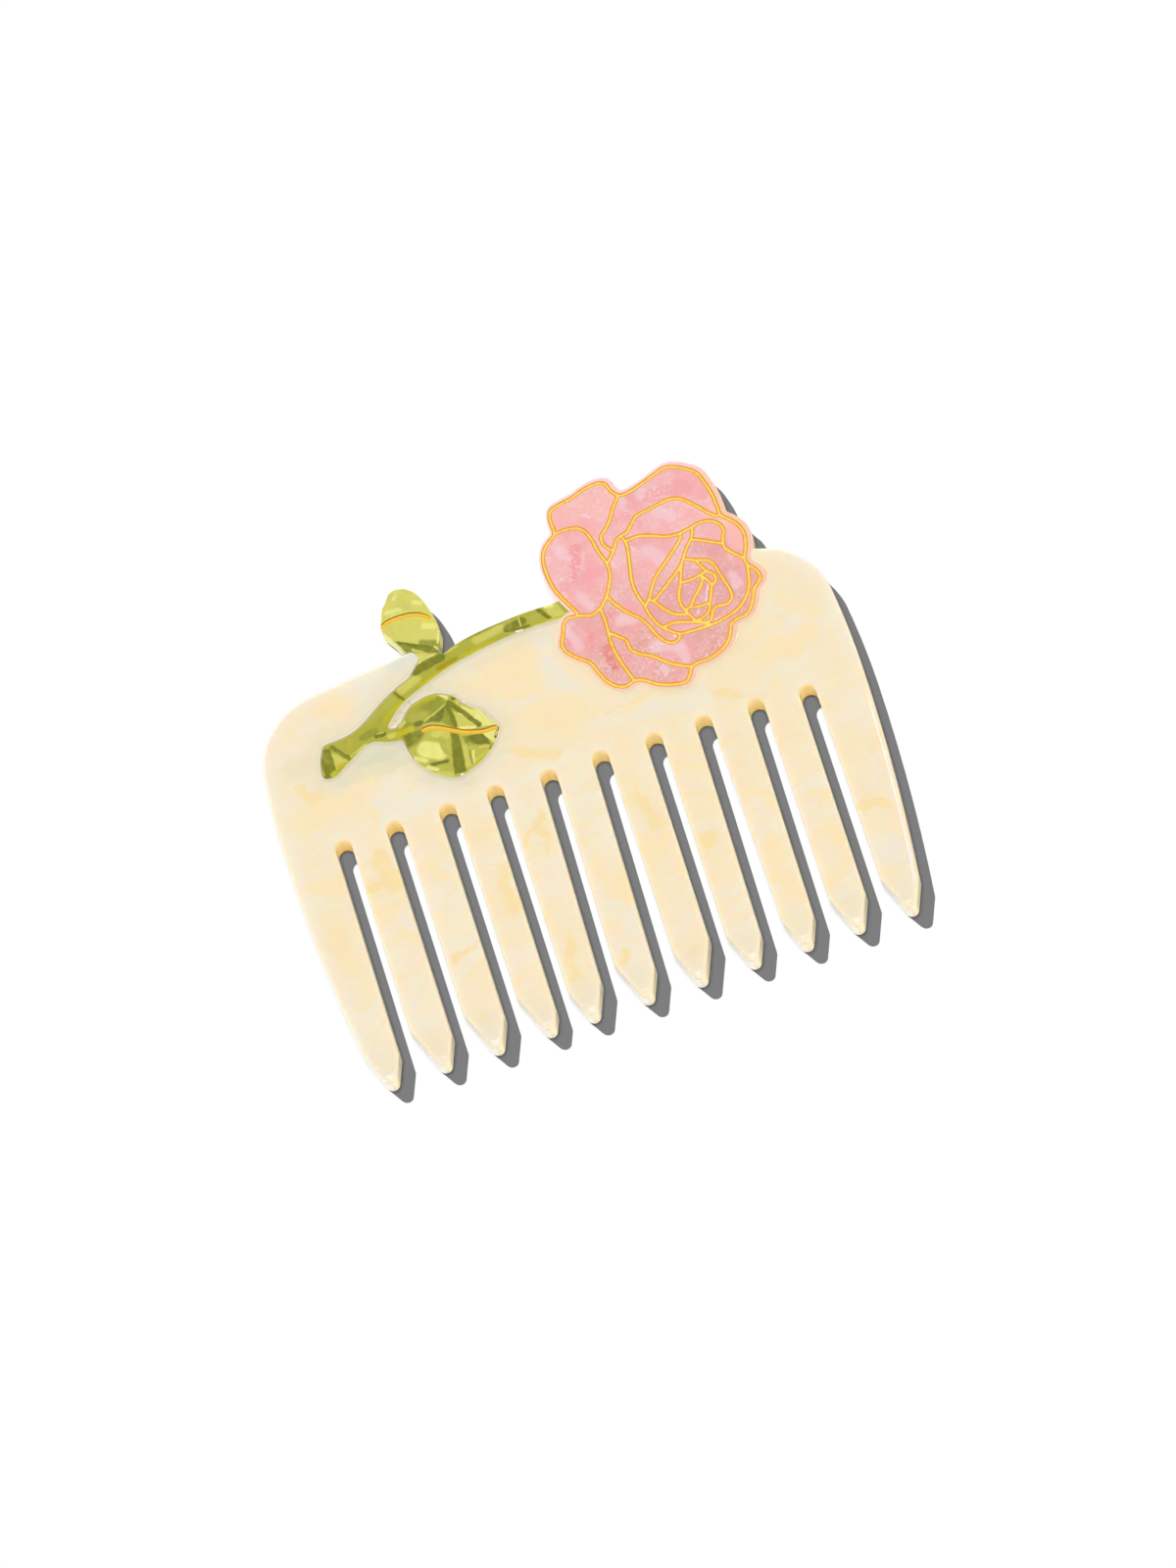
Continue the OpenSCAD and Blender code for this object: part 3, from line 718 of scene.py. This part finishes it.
pinkTones = dict(
    deep=(0.92, 0.39, 0.40), rosy=(0.93, 0.455, 0.47), pale=(0.95, 0.635, 0.655), light=(0.97, 0.79, 0.80),
    peach=(0.975, 0.56, 0.515), red=(0.83, 0.27, 0.23), dusky=(0.83, 0.43, 0.435), plain=(0.95, 0.54, 0.525),
    low=(0.82, 0.43, 0.37), glint=(1.0, 0.94, 0.93), margin=(0.95, 0.66, 0.67), marginGlow=(0.945, 0.63, 0.48),
    cutSide=(0.88, 0.42, 0.13))
roseShapes = [
    ("deep", 0.8, (11.2, 34.6), (9.6, 29.6), 0.4),
    ("rosy", 1, (7.6, 28.6), (13.8, 29.6), 0.5),
    ("pale", 0.7, (8.2, 36.4), (9.4, 33.6), 0.3),
    ("pale", 0.8, (9.6, 26.2), (10.6, 24.2), 0.4),
    ("peach", 2, (10, 42), (18, 41), 1.5),
    ("light", 0.3, (14.2, 40.1), (15, 39.2), 0.1),
    ("rosy", 1, (22.5, 39.8), (31.5, 39.4), 0.8),
    ("pale", 0.8, (24.2, 42), (24, 40.4), 0.3),
    ("pale", 0.7, (20.9, 41), (21.2, 40), 0.3),
    ("rosy", 0.9, (18.2, 37.2), (21.8, 38.2), 0.5),
    ("pale", 0.9, (25.6, 37), (27.8, 35), 0.6),
    ("rosy", 0.6, (21.4, 36.8), (22.8, 35.2), 0.3),
    ("pale", 1.3, (22.6, 30.4), (24, 28), 0.6),
    ("rosy", 0.8, (20, 32.8), (23, 32.4), 0.3),
    ("rosy", 0.7, (19.6, 25), (20, 23.4), 0.3),
    ("deep", 0.5, (9.2, 19.2), (9, 16.6), 0.2),
    ("red", 0.8, (11, 15.4), (11.3, 12.4), 0.4),
    ("deep", 0.8, (4.6, 19.6), (5.4, 18.6), 0.3),
    ("pale", 0.8, (5.8, 21.6), (6.6, 17.6), 0.3),
    ("pale", 1, (14.8, 19.8), (16.4, 19.4), 0.6),
    ("deep", 0.8, (12.4, 21.6), (13.6, 21), 0.3),
    ("rosy", 0.8, (16.8, 21.6), (18.4, 20.6), 0.4),
    ("deep", 0.7, (13.2, 13.6), (13, 11.2), 0.3),
    ("rosy", 0.7, (16.2, 11.2), (17, 10.4), 0.5),
    ("pale", 0.5, (18.8, 9.4), (19.1, 8.6), 0.3),
    ("pale", 1, (18.6, 13.4), (22.6, 12.2), 0.5),
    ("pale", 0.9, (22.4, 11.6), (23, 9.6), 0.4),
    ("dusky", 2, (23, 20), (32, 21), 3),
    ("dusky", 1.2, (30, 28.4), (34, 26.6), 0.8),
    ("pale", 1, (34.4, 21.4), (34.8, 19.4), 0.3),
    ("peach", 1, (36, 30.6), (37, 26.6), 0.8),
    ("glint", 0.08, (30.4, 21.6), (28.7, 18), 0.05),
    ("glint", 0.08, (22.6, 13.9), (21.4, 15.3), 0.05),
    ("glint", 0.08, (28.2, 28.4), (26.6, 25.3), 0.05),
    ("glint", 0.08, (27.6, 18.4), (27.2, 17), 0.05),
]

pink = dict(
    wander=(1.6, 0.5), broad=(6.0, 1.6), fine=(1.4, 1.5),
    lower=(32.0, 17.0),  # mm up the comb
    rosyClouds=(0.40, 0.64, 0.7), paleClouds=(0.45, 0.75, 0.45), paleStreaks=0.25, shapes=0.85,
    milk=(2.4, 5.0, 0.6), milky=(0.48, 0.68), milkyClouds=(0.62, 0.42, 0.75),
    margin=(1.2, 0.8), marginDown=(26.0, 20.0), marginRight=(33.0, 37.0),
    cutHeights=(3.0, 3.3, 3.985, 3.998), cutInside=(0.5, 1.0),
    gloss=0.22, waviness=0.02 * mm,
)
pinkMaterial, tree, sockets = newMaterial(
    "pinkAcetate", Subsurface_Weight=1.0, Subsurface_Radius=(1.0, 0.5, 0.4), Subsurface_Scale=0.0008,
    IOR=1.48)
tint, between = painter(tree, pinkTones)
point = millimetres(tree)
face = raggedFace(tree, point, *pink["wander"])
sideways, lengthways, height = axes(tree, point)
broad = marbled(tree, point, *pink["broad"])
fine = marbled(tree, point, *pink["fine"])
colour = between(ramp(tree, lengthways, *pink["lower"]), "plain", "low")
colour = tint(colour, "rosy", ramp(tree, broad["Cloud"], *pink["rosyClouds"]))
colour = tint(colour, "pale", ramp(tree, fine["Cloud"], *pink["paleClouds"]))
colour = tint(colour, "pale", broad["Streak"], pink["paleStreaks"])
colour = paintShapes(tree, tint, colour, face, roseShapes, pink["shapes"])
milky = ramp(tree, noise(tree, point, *pink["milk"])["Fac"], *pink["milky"])
colour = tint(colour, "light", milky, ramp(tree, broad["Cloud"], *pink["milkyClouds"]))
rimDistance = kept(tree, "rimDistance")
marginSide = calc(tree, "MAXIMUM", ramp(tree, lengthways, *pink["marginDown"]),
                  ramp(tree, sideways, *pink["marginRight"]))
# the rose's pink margin, painted warmer on its lower and right sides as a glow of light through its edge
marginColour = between(marginSide, "margin", "marginGlow")
colour = blend(tree, ramp(tree, rimDistance, *pink["margin"]), colour, marginColour)
# the gold runs up the sides of the cuts
colour = tint(colour, "cutSide", band(tree, height, *pink["cutHeights"]),
              ramp(tree, rimDistance, *pink["cutInside"]))
finishAcetate(tree, sockets, point, colour, pink)

# Green pearl acetate: crumpled layers inside it, each turned its own way to the light; the light each
# reflects is painted as lighter and darker facets

greenTones = dict(
    bright=(0.87, 0.83, 0.26), light=(0.67, 0.64, 0.14), mid=(0.50, 0.485, 0.085),
    olive=(0.33, 0.335, 0.05), dark=(0.215, 0.225, 0.025), grey=(0.19, 0.20, 0.03),
    umber=(0.10, 0.065, 0.02), yellow=(0.58, 0.52, 0.02), brown=(0.42, 0.33, 0.01),
    glint=(0.95, 0.95, 0.85), leaf=(0.71, 0.675, 0.16), soft=(0.71, 0.69, 0.17),
    lower=(0.54, 0.52, 0.09), stem=(0.475, 0.45, 0.06))
leafShapes = [
    # lower leaf, from its left lobe round to its tip
    ("olive", 0.9, (-25.5, 13.6), (-23.5, 12.8), (-16.8, 14.3), (-17.4, 18)),
    ("mid", 0.9, (-22.8, 14.6), (-21, 14.6), 0.35),
    ("yellow", 0.6, (-22.5, 17.2), (-18.5, 17.4), 0.3),
    ("dark", 0.5, (-25.3, 12.4), (-25.4, 9.6), (-22.6, 10.4), (-21.3, 12.4)),
    ("grey", 0.4, (-22.6, 13.4), (-21.9, 13.4), 0.25),
    ("grey", 0.18, (-21.2, 13.2), (-18.7, 12.5), (-17.6, 13.4), (-17.1, 15)),
    ("light", 0.12, (-21, 13.6), (-17.2, 15.1), 0.07),
    ("olive", 0.15, (-18.5, 12.4), (-16.8, 10.6), (-16.1, 13), (-17.1, 14.9)),
    ("dark", 0.25, (-16.8, 14.8), (-16.5, 11), 0.25),
    ("light", 0.15, (-16.1, 13.4), (-16.2, 10.4), (-13.3, 9.5), (-13, 10.3)),
    ("bright", 0.12, (-15.9, 10.3), (-13.6, 9.7), 0.15),
    ("bright", 0.12, (-15.6, 12.9), (-13.2, 10.5), 0.05),
    ("bright", 0.2, (-17.9, 17.4), (-16.6, 15.8), (-16.2, 16.4), (-17, 17.4)),
    ("bright", 0.15, (-15.3, 15.2), (-12.7, 9.6), (-10, 8.9), (-11.5, 13)),
    ("mid", 0.3, (-14.6, 14.6), (-13, 13.2), 0.25),
    ("dark", 0.2, (-16.5, 15.4), (-12.8, 9.9), 0.33),
    ("dark", 0.15, (-15.6, 15.8), (-14.9, 15.9), 0.25),
    ("bright", 0.7, (-22.4, 8.6), (-20.3, 7.4), 1.1),
    ("light", 0.4, (-20.2, 10.7), (-18.4, 9.9), 0.45),
    ("mid", 0.4, (-19.6, 9.4), (-19.2, 6.8), 0.3),
    ("bright", 0.35, (-24.4, 7.6), (-23, 6.6), 0.25),
    ("grey", 0.4, (-22.2, 5.6), (-19.6, 5.4), 0.12),
    ("bright", 0.3, (-23, 5.4), (-21.6, 4.5), 0.2),
    ("light", 0.4, (-21.5, 3.6), (-19.6, 2.8), 0.25),
    ("dark", 0.2, (-17.7, 10.2), (-19.2, 2.6), (-17, 2.6), (-16.5, 9.2)),
    ("light", 0.2, (-16.5, 7.6), (-17, 3.2), (-15.9, 3.3), (-15.9, 7)),
    ("grey", 0.25, (-16, 8.7), (-15.6, 6.9), (-12, 5.9), (-12.3, 8.2)),
    ("olive", 0.25, (-15.7, 8.4), (-14.6, 6.6), 0.1),
    ("mid", 0.2, (-15.4, 7.2), (-14.4, 6.1), 0.15),
    ("light", 0.15, (-13.8, 5.9), (-12.4, 5.6), 0.12),
    ("bright", 0.1, (-12.7, 8.2), (-11.5, 5.9), (-10.8, 7), (-10.3, 8.3)),
    ("bright", 0.15, (-15.5, 3.7), (-15, 5.6), 0.12),
    ("olive", 0.12, (-15.9, 3.6), (-15.6, 6), 0.08),
    ("light", 0.15, (-15.3, 3.9), (-12.5, 5), 0.1),
    ("yellow", 0.15, (-15.8, 3), (-12.2, 5), 0.15),
    ("dark", 0.12, (-12.3, 5.3), (-11.3, 5.8), 0.15),
    ("glint", 0.1, (-18.1, 2.3), (-17.8, 2.35), 0.1),
    ("umber", 0.12, (-15, 16.1), (-14, 14.6), 0.14),
    ("umber", 0.12, (-9.8, 8.5), (-10.8, 7), 0.18),
    ("brown", 0.1, (-11.5, 12), (-10.5, 9.8), 0.1),
    ("brown", 0.1, (-10.9, 6.3), (-12, 5.4), 0.12),
    # upper leaf
    ("olive", 0.3, (-20.5, 37.4), (-22.3, 35.2), 0.06),
    ("bright", 0.4, (-19.9, 36.2), (-19, 37.3), 0.15),
    ("soft", 1, (-18.6, 37), (-17, 36.2), 0.4),
    ("soft", 0.8, (-20, 35.4), (-16.2, 33.6), 0.2),
    ("bright", 0.5, (-21.6, 34.2), (-19.6, 34), 0.2),
    ("bright", 0.35, (-16.9, 34.6), (-15.9, 34.1), 0.2),
    ("soft", 1.2, (-17.8, 28.4), (-15.6, 27), 0.6),
    ("bright", 0.5, (-16.4, 29.9), (-15, 29.3), 0.3),
    ("olive", 0.6, (-17.6, 27), (-15.4, 26.2), 0.3),
    ("dark", 0.25, (-21.8, 28.9), (-20.6, 26.2), (-15, 24.2), (-15.6, 25.5)),
    ("olive", 0.25, (-20.6, 27.4), (-19, 26.1), 0.2),
    ("light", 0.25, (-19.4, 26.4), (-17.2, 24.7), 0.12),
    ("dark", 0.15, (-21.3, 28.4), (-15.6, 25.4), 0.12),
    ("bright", 0.15, (-14.5, 28.4), (-15.2, 26.2), 0.06),
    ("bright", 0.12, (-15.9, 25.7), (-15.6, 25.3), 0.12),
    ("bright", 0.15, (-17.3, 24.1), (-16.6, 24.2), 0.14),
    ("bright", 0.1, (-19.2, 24), (-18.9, 23.8), 0.1),
    # stem, from its left end
    ("dark", 0.2, (-38.9, 14.4), (-40.2, 9), (-37.5, 9), (-37.4, 14)),
    ("olive", 0.3, (-39, 13.6), (-38.4, 11.8), 0.2),
    ("mid", 0.15, (-39.8, 11), (-39.6, 9.8), 0.1),
    ("light", 0.15, (-37.3, 13.2), (-37.5, 10), (-35.3, 10.7), (-35.4, 11.2)),
    ("yellow", 0.2, (-37, 10.4), (-35.8, 10.6), 0.25),
    ("yellow", 0.2, (-38.2, 9.4), (-37.8, 9.6), 0.35),
    ("dark", 0.15, (-37, 14.2), (-34.9, 11.3), 0.28),
    ("light", 0.1, (-34.6, 11.4), (-34.2, 11.6), 0.12),
    ("light", 0.15, (-33.9, 11.9), (-31.5, 12.8), 0.1),
    ("mid", 0.8, (-30, 17), (-25.6, 18.8), 0.7),
    ("yellow", 0.4, (-27.4, 16), (-23.2, 18.4), 0.15),
    ("olive", 0.5, (-31.6, 14.1), (-29.6, 14.5), 0.4),
    ("grey", 0.25, (-29.4, 13.6), (-28.2, 13.6), 0.3),
    ("light", 0.1, (-29.3, 13.9), (-28.2, 13.9), 0.06),
    ("light", 0.2, (-27.4, 12.8), (-26.3, 12.8), 0.35),
    ("yellow", 0.25, (-26, 12.6), (-23.6, 12.9), 0.35),
    ("light", 0.2, (-25.4, 13.9), (-24.4, 14.4), 0.2),
    ("light", 0.7, (-23.4, 20), (-20.4, 21.2), 0.4),
    ("dark", 0.2, (-24.6, 20.1), (-23.4, 18.4), 0.14),
    ("dark", 0.4, (-20.2, 22.6), (-15.4, 23.6), 0.6),
    ("brown", 0.5, (-16.2, 21.7), (-13.2, 22.3), 0.3),
    ("yellow", 0.3, (-20, 20), (-12.6, 21.9), 0.18),
    ("light", 0.15, (-14.4, 24), (-12.4, 24.6), 0.1),
    ("light", 0.9, (-9, 24.6), (-4.6, 25.3), 0.3),
    ("yellow", 0.3, (-11.6, 22.6), (-6.4, 23.4), 0.22),
    ("olive", 0.3, (-11, 25.3), (-1.4, 26.6), 0.12),
    ("dark", 0.4, (-3.6, 24.8), (-0.8, 25.2), 0.5),
    ("light", 0.1, (-1.2, 26), (-1.3, 24.5), 0.1),
    ("dark", 0.15, (-3, 24.1), (0, 24.1), 0.15),
    ("mid", 0.3, (0.2, 25.6), (0.3, 24.2), (2.6, 24.2), (2, 25.8)),
    ("dark", 0.2, (2.2, 26.4), (3.7, 24.2), 0.25),
    ("light", 0.15, (3.1, 26.8), (4.1, 23.8), (6.4, 23.6), (5.4, 26.8)),
    ("bright", 0.3, (3.6, 26.4), (4.6, 26.2), 0.15),
    ("yellow", 0.2, (1, 23.9), (6, 23.8), 0.12),
    ("glint", 0.08, (-2.2, 23.75), (-1.2, 23.75), 0.1),
]

green = dict(
    wander=(0.5, 0.9), silk=(3.0, 2.0),
    upperLeaf=((-19, 36), (-18.2, 30), 6.0), upperBlur=0.6,
    lowerLeaf=((-19, 9.5), (-15.5, 9.3), 6.6), lowerBlur=0.5,
    pearl=(0.9, 3.0), pearly=(0.3, 0.6, 0.8),
    sheen=(0.55, 0.8, 0.2), shade=(0.5, 0.25, 0.12),
    gloss=0.18, waviness=0.02 * mm,
)
greenMaterial, tree, sockets = newMaterial(
    "greenAcetate", Subsurface_Weight=0.35, Subsurface_Radius=(0.8, 0.8, 0.2), Subsurface_Scale=0.0005,
    IOR=1.5)
tint = painter(tree, greenTones)[0]
point = millimetres(tree)
face = raggedFace(tree, point, *green["wander"])
colour = tint(ownColour(greenTones["stem"]), "leaf",
              shapeMask(tree, face, green["upperBlur"], green["upperLeaf"]))
colour = tint(colour, "lower", shapeMask(tree, face, green["lowerBlur"], green["lowerLeaf"]))
pearly = spread(tree, noise(tree, point, *green["pearl"])["Fac"], *green["pearly"])
colour = paintShapes(tree, tint, colour, face, leafShapes, pearly)
silk = marbled(tree, point, *green["silk"])["Cloud"]
colour = tint(colour, "bright", ramp(tree, silk, *green["sheen"]))
colour = tint(colour, "dark", ramp(tree, silk, *green["shade"]))
finishAcetate(tree, sockets, point, colour, green)

# Gold filling of the engraved lines, with painted light and shade: pale in the middle of the cut as its lit
# floor, orange up its shaded sides

goldTones = dict(pale=(1.0, 0.72, 0.16), orange=(0.92, 0.39, 0.045), edge=(0.80, 0.33, 0.03),
                 vein=(0.83, 0.51, 0.025), brown=(0.25, 0.11, 0.01))
gold = dict(
    grain=(2.2, 3.0), grainHeight=0.06,
    sides=(3.832, 3.862), rims=(3.85, 3.89),  # mm above the comb's back
    leaves=(2.0, 0.0),  # both leaves lie left of the comb's middle
    vein=0.7, shaded=(0.3, 0.7, 0.85),
    gloss=0.3, waviness=0.01 * mm,
)
goldMaterial, tree, sockets = newMaterial("goldFill", Specular_IOR_Level=0.3)
tint, between = painter(tree, goldTones)
point = millimetres(tree)
sideways, lengthways, height = axes(tree, point)
grain = calc(tree, "SUBTRACT", noise(tree, point, *gold["grain"])["Fac"], 0.5)
height = calc(tree, "ADD", height, calc(tree, "MULTIPLY", grain, gold["grainHeight"]))
colour = between(ramp(tree, height, *gold["sides"]), "pale", "orange")
# painted shade: darker still at the rims of the cut
colour = tint(colour, "edge", ramp(tree, height, *gold["rims"]))
# the veins of the leaves are deeper in colour, with a painted shadow under the upper edge of the cut
onLeaf = ramp(tree, sideways, *gold["leaves"])
colour = tint(colour, "vein", onLeaf, gold["vein"])
colour = tint(colour, "brown", ramp(tree, kept(tree, "upperSide"), *gold["shaded"]), onLeaf)
finishAcetate(tree, sockets, point, colour, gold)


# The plate

plate = dict(
    edgeRound=0.45 * mm,  # outer edges and teeth
    rootRound=0.3 * mm,  # round ends of the slots
    rootReach=1.6,  # mm from the middle of a slot's round end
    seamRound=0.08 * mm,  # along the rose and the green piece
    seamWide=0.22 * mm,  # the same where the seam's wall looks down to the right
    downRight=Vector((0.6, -0.8, 0)), wideTurn=0.4, aboveTurn=0.3,
    rimSteps=4,
    gridPitch=1.2 * mm, gridX=(-49 * mm, 49 * mm), gridY=(-45 * mm, 27.5 * mm),
    rimReach=4, inlayReach=6,  # how far the kept distances go, in mm
)
print("plate")
combPlate = cleanCopy("comb_plate", "combPlate")
inlays = surfaceOf("rose", "stem_and_leaves")
greenSurface = surfaceOf("stem_and_leaves")


def plateRim(point, outward):
    if distanceTo(inlays, point) < touching:
        wide = outward.dot(plate["downRight"]) > plate["wideTurn"]
        return plate["seamWide" if wide else "seamRound"]
    if min(hypot(point.x / mm - x, point.y / mm - y) for x, y in slotEnds) < plate["rootReach"]:
        return plate["rootRound"]
    return plate["edgeRound"]


def aboveGreen(point):
    toGreen = greenSurface.find_nearest(point)[0] - point
    toGreen.z = 0
    return toGreen.length > 0 and toGreen.normalized().dot(plate["downRight"]) > plate["aboveTurn"]


outline = wallsOf(combPlate.data, awayFrom=inlays)
roundRims(combPlate, plateRim, plate["rimSteps"])
gridFace(combPlate, plate["gridPitch"], plate["gridX"], plate["gridY"])
keepDistance(combPlate, "rimDistance", outline, plate["rimReach"])
keepDistance(combPlate, "besideRose", surfaceOf("rose"), plate["inlayReach"])
keepDistance(combPlate, "besideGreen", greenSurface, plate["inlayReach"])
keepValue(combPlate, "facesRight", lambda point: outline.find_nearest(point)[1].x)
keepValue(combPlate, "aboveGreen", aboveGreen)
keepFlatsFlat(combPlate)
finishPiece(combPlate, creamMaterial, "plate_acetate", "comb_plate")

# The rose

roseLook = dict(
    rimRound=0.25 * mm, seamRound=0.08 * mm, rimSteps=3,
    grooveRound=0.03 * mm, grooveReach=0.12 * mm,
    wallHeight=3 * mm,  # the rose's own walls are higher than this, those of the grooves lower
    rimReach=3,  # how far the kept distance goes, in mm
)
print("rose")
roseBody = cleanCopy("rose", "roseBody")
goldLines = surfaceOf("rose_gold_lines")
roseNeighbours = surfaceOf("comb_plate", "stem_and_leaves")


def roseRim(point, outward):
    if distanceTo(goldLines, point) < roseLook["grooveReach"]:
        return roseLook["grooveRound"]
    return roseLook["seamRound" if distanceTo(roseNeighbours, point) < touching else "rimRound"]


outerWalls = wallsOf(roseBody.data, roseLook["wallHeight"])
roundRims(roseBody, roseRim, roseLook["rimSteps"])
keepDistance(roseBody, "rimDistance", outerWalls, roseLook["rimReach"])
keepFlatsFlat(roseBody)
finishPiece(roseBody, pinkMaterial, "rose_acetate", "rose")

# The stem and the leaves

leafLook = dict(rimRound=0.25 * mm, seamRound=0.12 * mm, rimSteps=3)
print("stem and leaves")
greenBody = cleanCopy("stem_and_leaves", "greenBody")
plateAndRose = surfaceOf("comb_plate", "rose")


def greenRim(point, outward):
    return leafLook["seamRound" if distanceTo(plateAndRose, point) < touching else "rimRound"]


roundRims(greenBody, greenRim, leafLook["rimSteps"])
keepFlatsFlat(greenBody)
finishPiece(greenBody, greenMaterial, "leaf_acetate", "stem_and_leaves")

# Gold in the engraved lines: remeshed finely, then its top is hollowed like the floor of a round cut

goldShape = dict(
    hollow=0.12 * mm,  # in the middle of a line
    measured=0.1 * mm,  # how far below the top the distance to the walls is taken
    topShare=0.6,  # the top's points are closer to it than this share of a voxel
    wallReach=0.07 * mm, wider=0.02 * mm,  # points this near a wall move out by so much
    weld=0.005 * mm, thinnest=0.003 * mm,  # what is smaller after the remesh is merged
)
goldPieces = (
    # node, piece, voxel, half the line's width
    ("rose_gold_lines", "roseGoldLines", 0.12 * mm, 0.35 * mm),
    ("upper_leaf_vein", "upperLeafVein", 0.08 * mm, 0.37 * mm),
    ("lower_leaf_vein", "lowerLeafVein", 0.08 * mm, 0.37 * mm),
)
print("gold")
for nodeName, pieceName, voxel, halfWidth in goldPieces:
    piece = cleanCopy(nodeName, pieceName)
    mesh = piece.data
    sides = wallsOf(mesh)
    top = max(v.co.z for v in mesh.vertices)
    makeActive(piece)
    mesh.remesh_voxel_size = voxel
    mesh.remesh_voxel_adaptivity = 0
    bpy.ops.object.voxel_remesh()
    upperSide = mesh.attributes.new("upperSide", "FLOAT", "POINT")
    for i, vert in enumerate(mesh.vertices):
        level = Vector((vert.co.x, vert.co.y, top - goldShape["measured"]))
        nearest, outward, index, gap = sides.find_nearest(level)
        inside = min(gap / halfWidth, 1)
        upperSide.data[i].value = max(outward.y, 0) * (1 - inside)
        if vert.co.z > top - goldShape["topShare"] * voxel:
            vert.co.z = top - goldShape["hollow"] * (1 - (1 - inside) ** 2)
        if gap < goldShape["wallReach"]:
            vert.co += outward * goldShape["wider"]
    bpy.ops.object.mode_set(mode="EDIT")
    bpy.ops.mesh.select_all(action="SELECT")
    bpy.ops.mesh.remove_doubles(threshold=goldShape["weld"])
    bpy.ops.mesh.dissolve_degenerate(threshold=goldShape["thinnest"])
    bpy.ops.object.mode_set(mode="OBJECT")
    bpy.ops.object.shade_smooth()
    finishPiece(piece, goldMaterial, "gold_fill", nodeName)

# Floor, lights and camera

stage = dict(
    floorSize=20, floorDrop=0.03 * mm,
    floorWhite=(0.93, 0.93, 0.93), floorShade=(0.92, 0.92, 0.92), floorGrain=(0.4, 2.0),
    skyLight=0.03, skyGloss=0.06, skySeen=1.0,
)
print("stage")
makeActive(combPlate)
bpy.ops.object.select_all(action="DESELECT")
bpy.ops.mesh.primitive_plane_add(size=stage["floorSize"], location=(0, 0, -stage["floorDrop"]))
floor = bpy.context.object
floor.name = "floor"
floorMaterial, tree, sockets = newMaterial("floorWhite", Specular_IOR_Level=0.0, Roughness=0.9)
paper = noise(tree, millimetres(tree), *stage["floorGrain"])["Fac"]
paper = blend(tree, paper, (*stage["floorWhite"], 1), (*stage["floorShade"], 1))
tree.links.new(paper, sockets["Base Color"])
floor.data.materials.append(floorMaterial)
floor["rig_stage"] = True

# some light falls on the comb alone, and the fills pass through the comb itself;
# the comb throws no light down, so that its shadows keep one even grey
combOnly = bpy.data.collections.new("combOnly")
seenThrough = bpy.data.collections.new("seenThrough")
seenThrough.objects.link(floor)
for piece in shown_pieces():
    combOnly.objects.link(piece)
    seenThrough.objects.link(piece)
    piece.visible_diffuse = False
for entry in seenThrough.collection_objects:
    entry.light_linking.link_state = "EXCLUDE"

suns = (
    # name, kind, the way the light travels, strength, spread in degrees
    ("keyLight", "key", (1.65, -2.8, -4.0), 3.5, 0.3),
    ("topLight", "top", (0, 0, -1), 0.62, 20),
    ("frontLight", "fill", (0, 1, 0), 2.7, 20),
    ("sideLight", "fill", (-1, 0, 0), 2.0, 20),
    ("leftLight", "fill", (0.8, 0, 0.6), 2.0, 20),
    ("belowLight", "fill", (0, 0, 1), 0.8, 20),
    ("glintLight", "glint", (-0.40, -0.128, -0.908), 0.5, 10),
    ("lowGlintLight", "glint", (0, 0.72, -0.695), 0.6, 10),
)
for name, kind, travel, strength, spreadAngle in suns:
    bpy.ops.object.light_add(type="SUN")
    light = bpy.context.object
    light.name = name
    light.rotation_euler = Vector(travel).to_track_quat("-Z", "Y").to_euler()
    light.data.energy = strength
    light.data.angle = radians(spreadAngle)
    light.visible_glossy = kind in ("top", "glint")
    light.visible_diffuse = kind != "glint"
    if kind in ("fill", "glint"):
        light.light_linking.receiver_collection = combOnly
    if kind == "fill":
        light.light_linking.blocker_collection = seenThrough

# the world is dim for the comb, a little brighter in its gloss, and white behind it
scene = bpy.context.scene
scene.world = bpy.data.worlds.new("studio")
scene.world.use_nodes = True
tree = scene.world.node_tree
background = tree.nodes["Background"]
background.inputs["Color"].default_value = (1, 1, 1, 1)
rays = tree.nodes.new("ShaderNodeLightPath").outputs
sky = blendNumbers(tree, rays["Is Glossy Ray"], stage["skyLight"], stage["skyGloss"])
sky = blendNumbers(tree, rays["Is Camera Ray"], sky, stage["skySeen"])
tree.links.new(sky, background.inputs["Strength"])
scene.view_settings.view_transform = "Standard"

view = dict(
    elevation=65.9, azimuth=2.81, roll=-21.14, distance=3.0,
    aimRight=2.30 * mm, aimUp=-3.54 * mm,  # from the comb's middle to the picture's
    pictureHeight=257.7 * mm,  # what the picture's height covers at the comb
    sensorWidth=36, clipEnd=50,
)
up, side, turn = (radians(view[k]) for k in ("elevation", "azimuth", "roll"))
toCamera = Vector((cos(up) * sin(side), -cos(up) * cos(side), sin(up)))
level = Vector((cos(side), sin(side), 0))
rise = toCamera.cross(level)
cameraRight = level * cos(turn) + rise * sin(turn)
cameraUp = rise * cos(turn) - level * sin(turn)
bpy.ops.object.camera_add()
camera = bpy.context.object
camera.rotation_euler = Matrix((cameraRight, cameraUp, toCamera)).transposed().to_euler()
camera.location = (cameraRight * view["aimRight"] + cameraUp * view["aimUp"]
                   + toCamera * view["distance"])
camera.data.sensor_width = view["sensorWidth"]
camera.data.lens = view["sensorWidth"] * view["distance"] / view["pictureHeight"]
camera.data.clip_end = view["clipEnd"]
scene.camera = camera
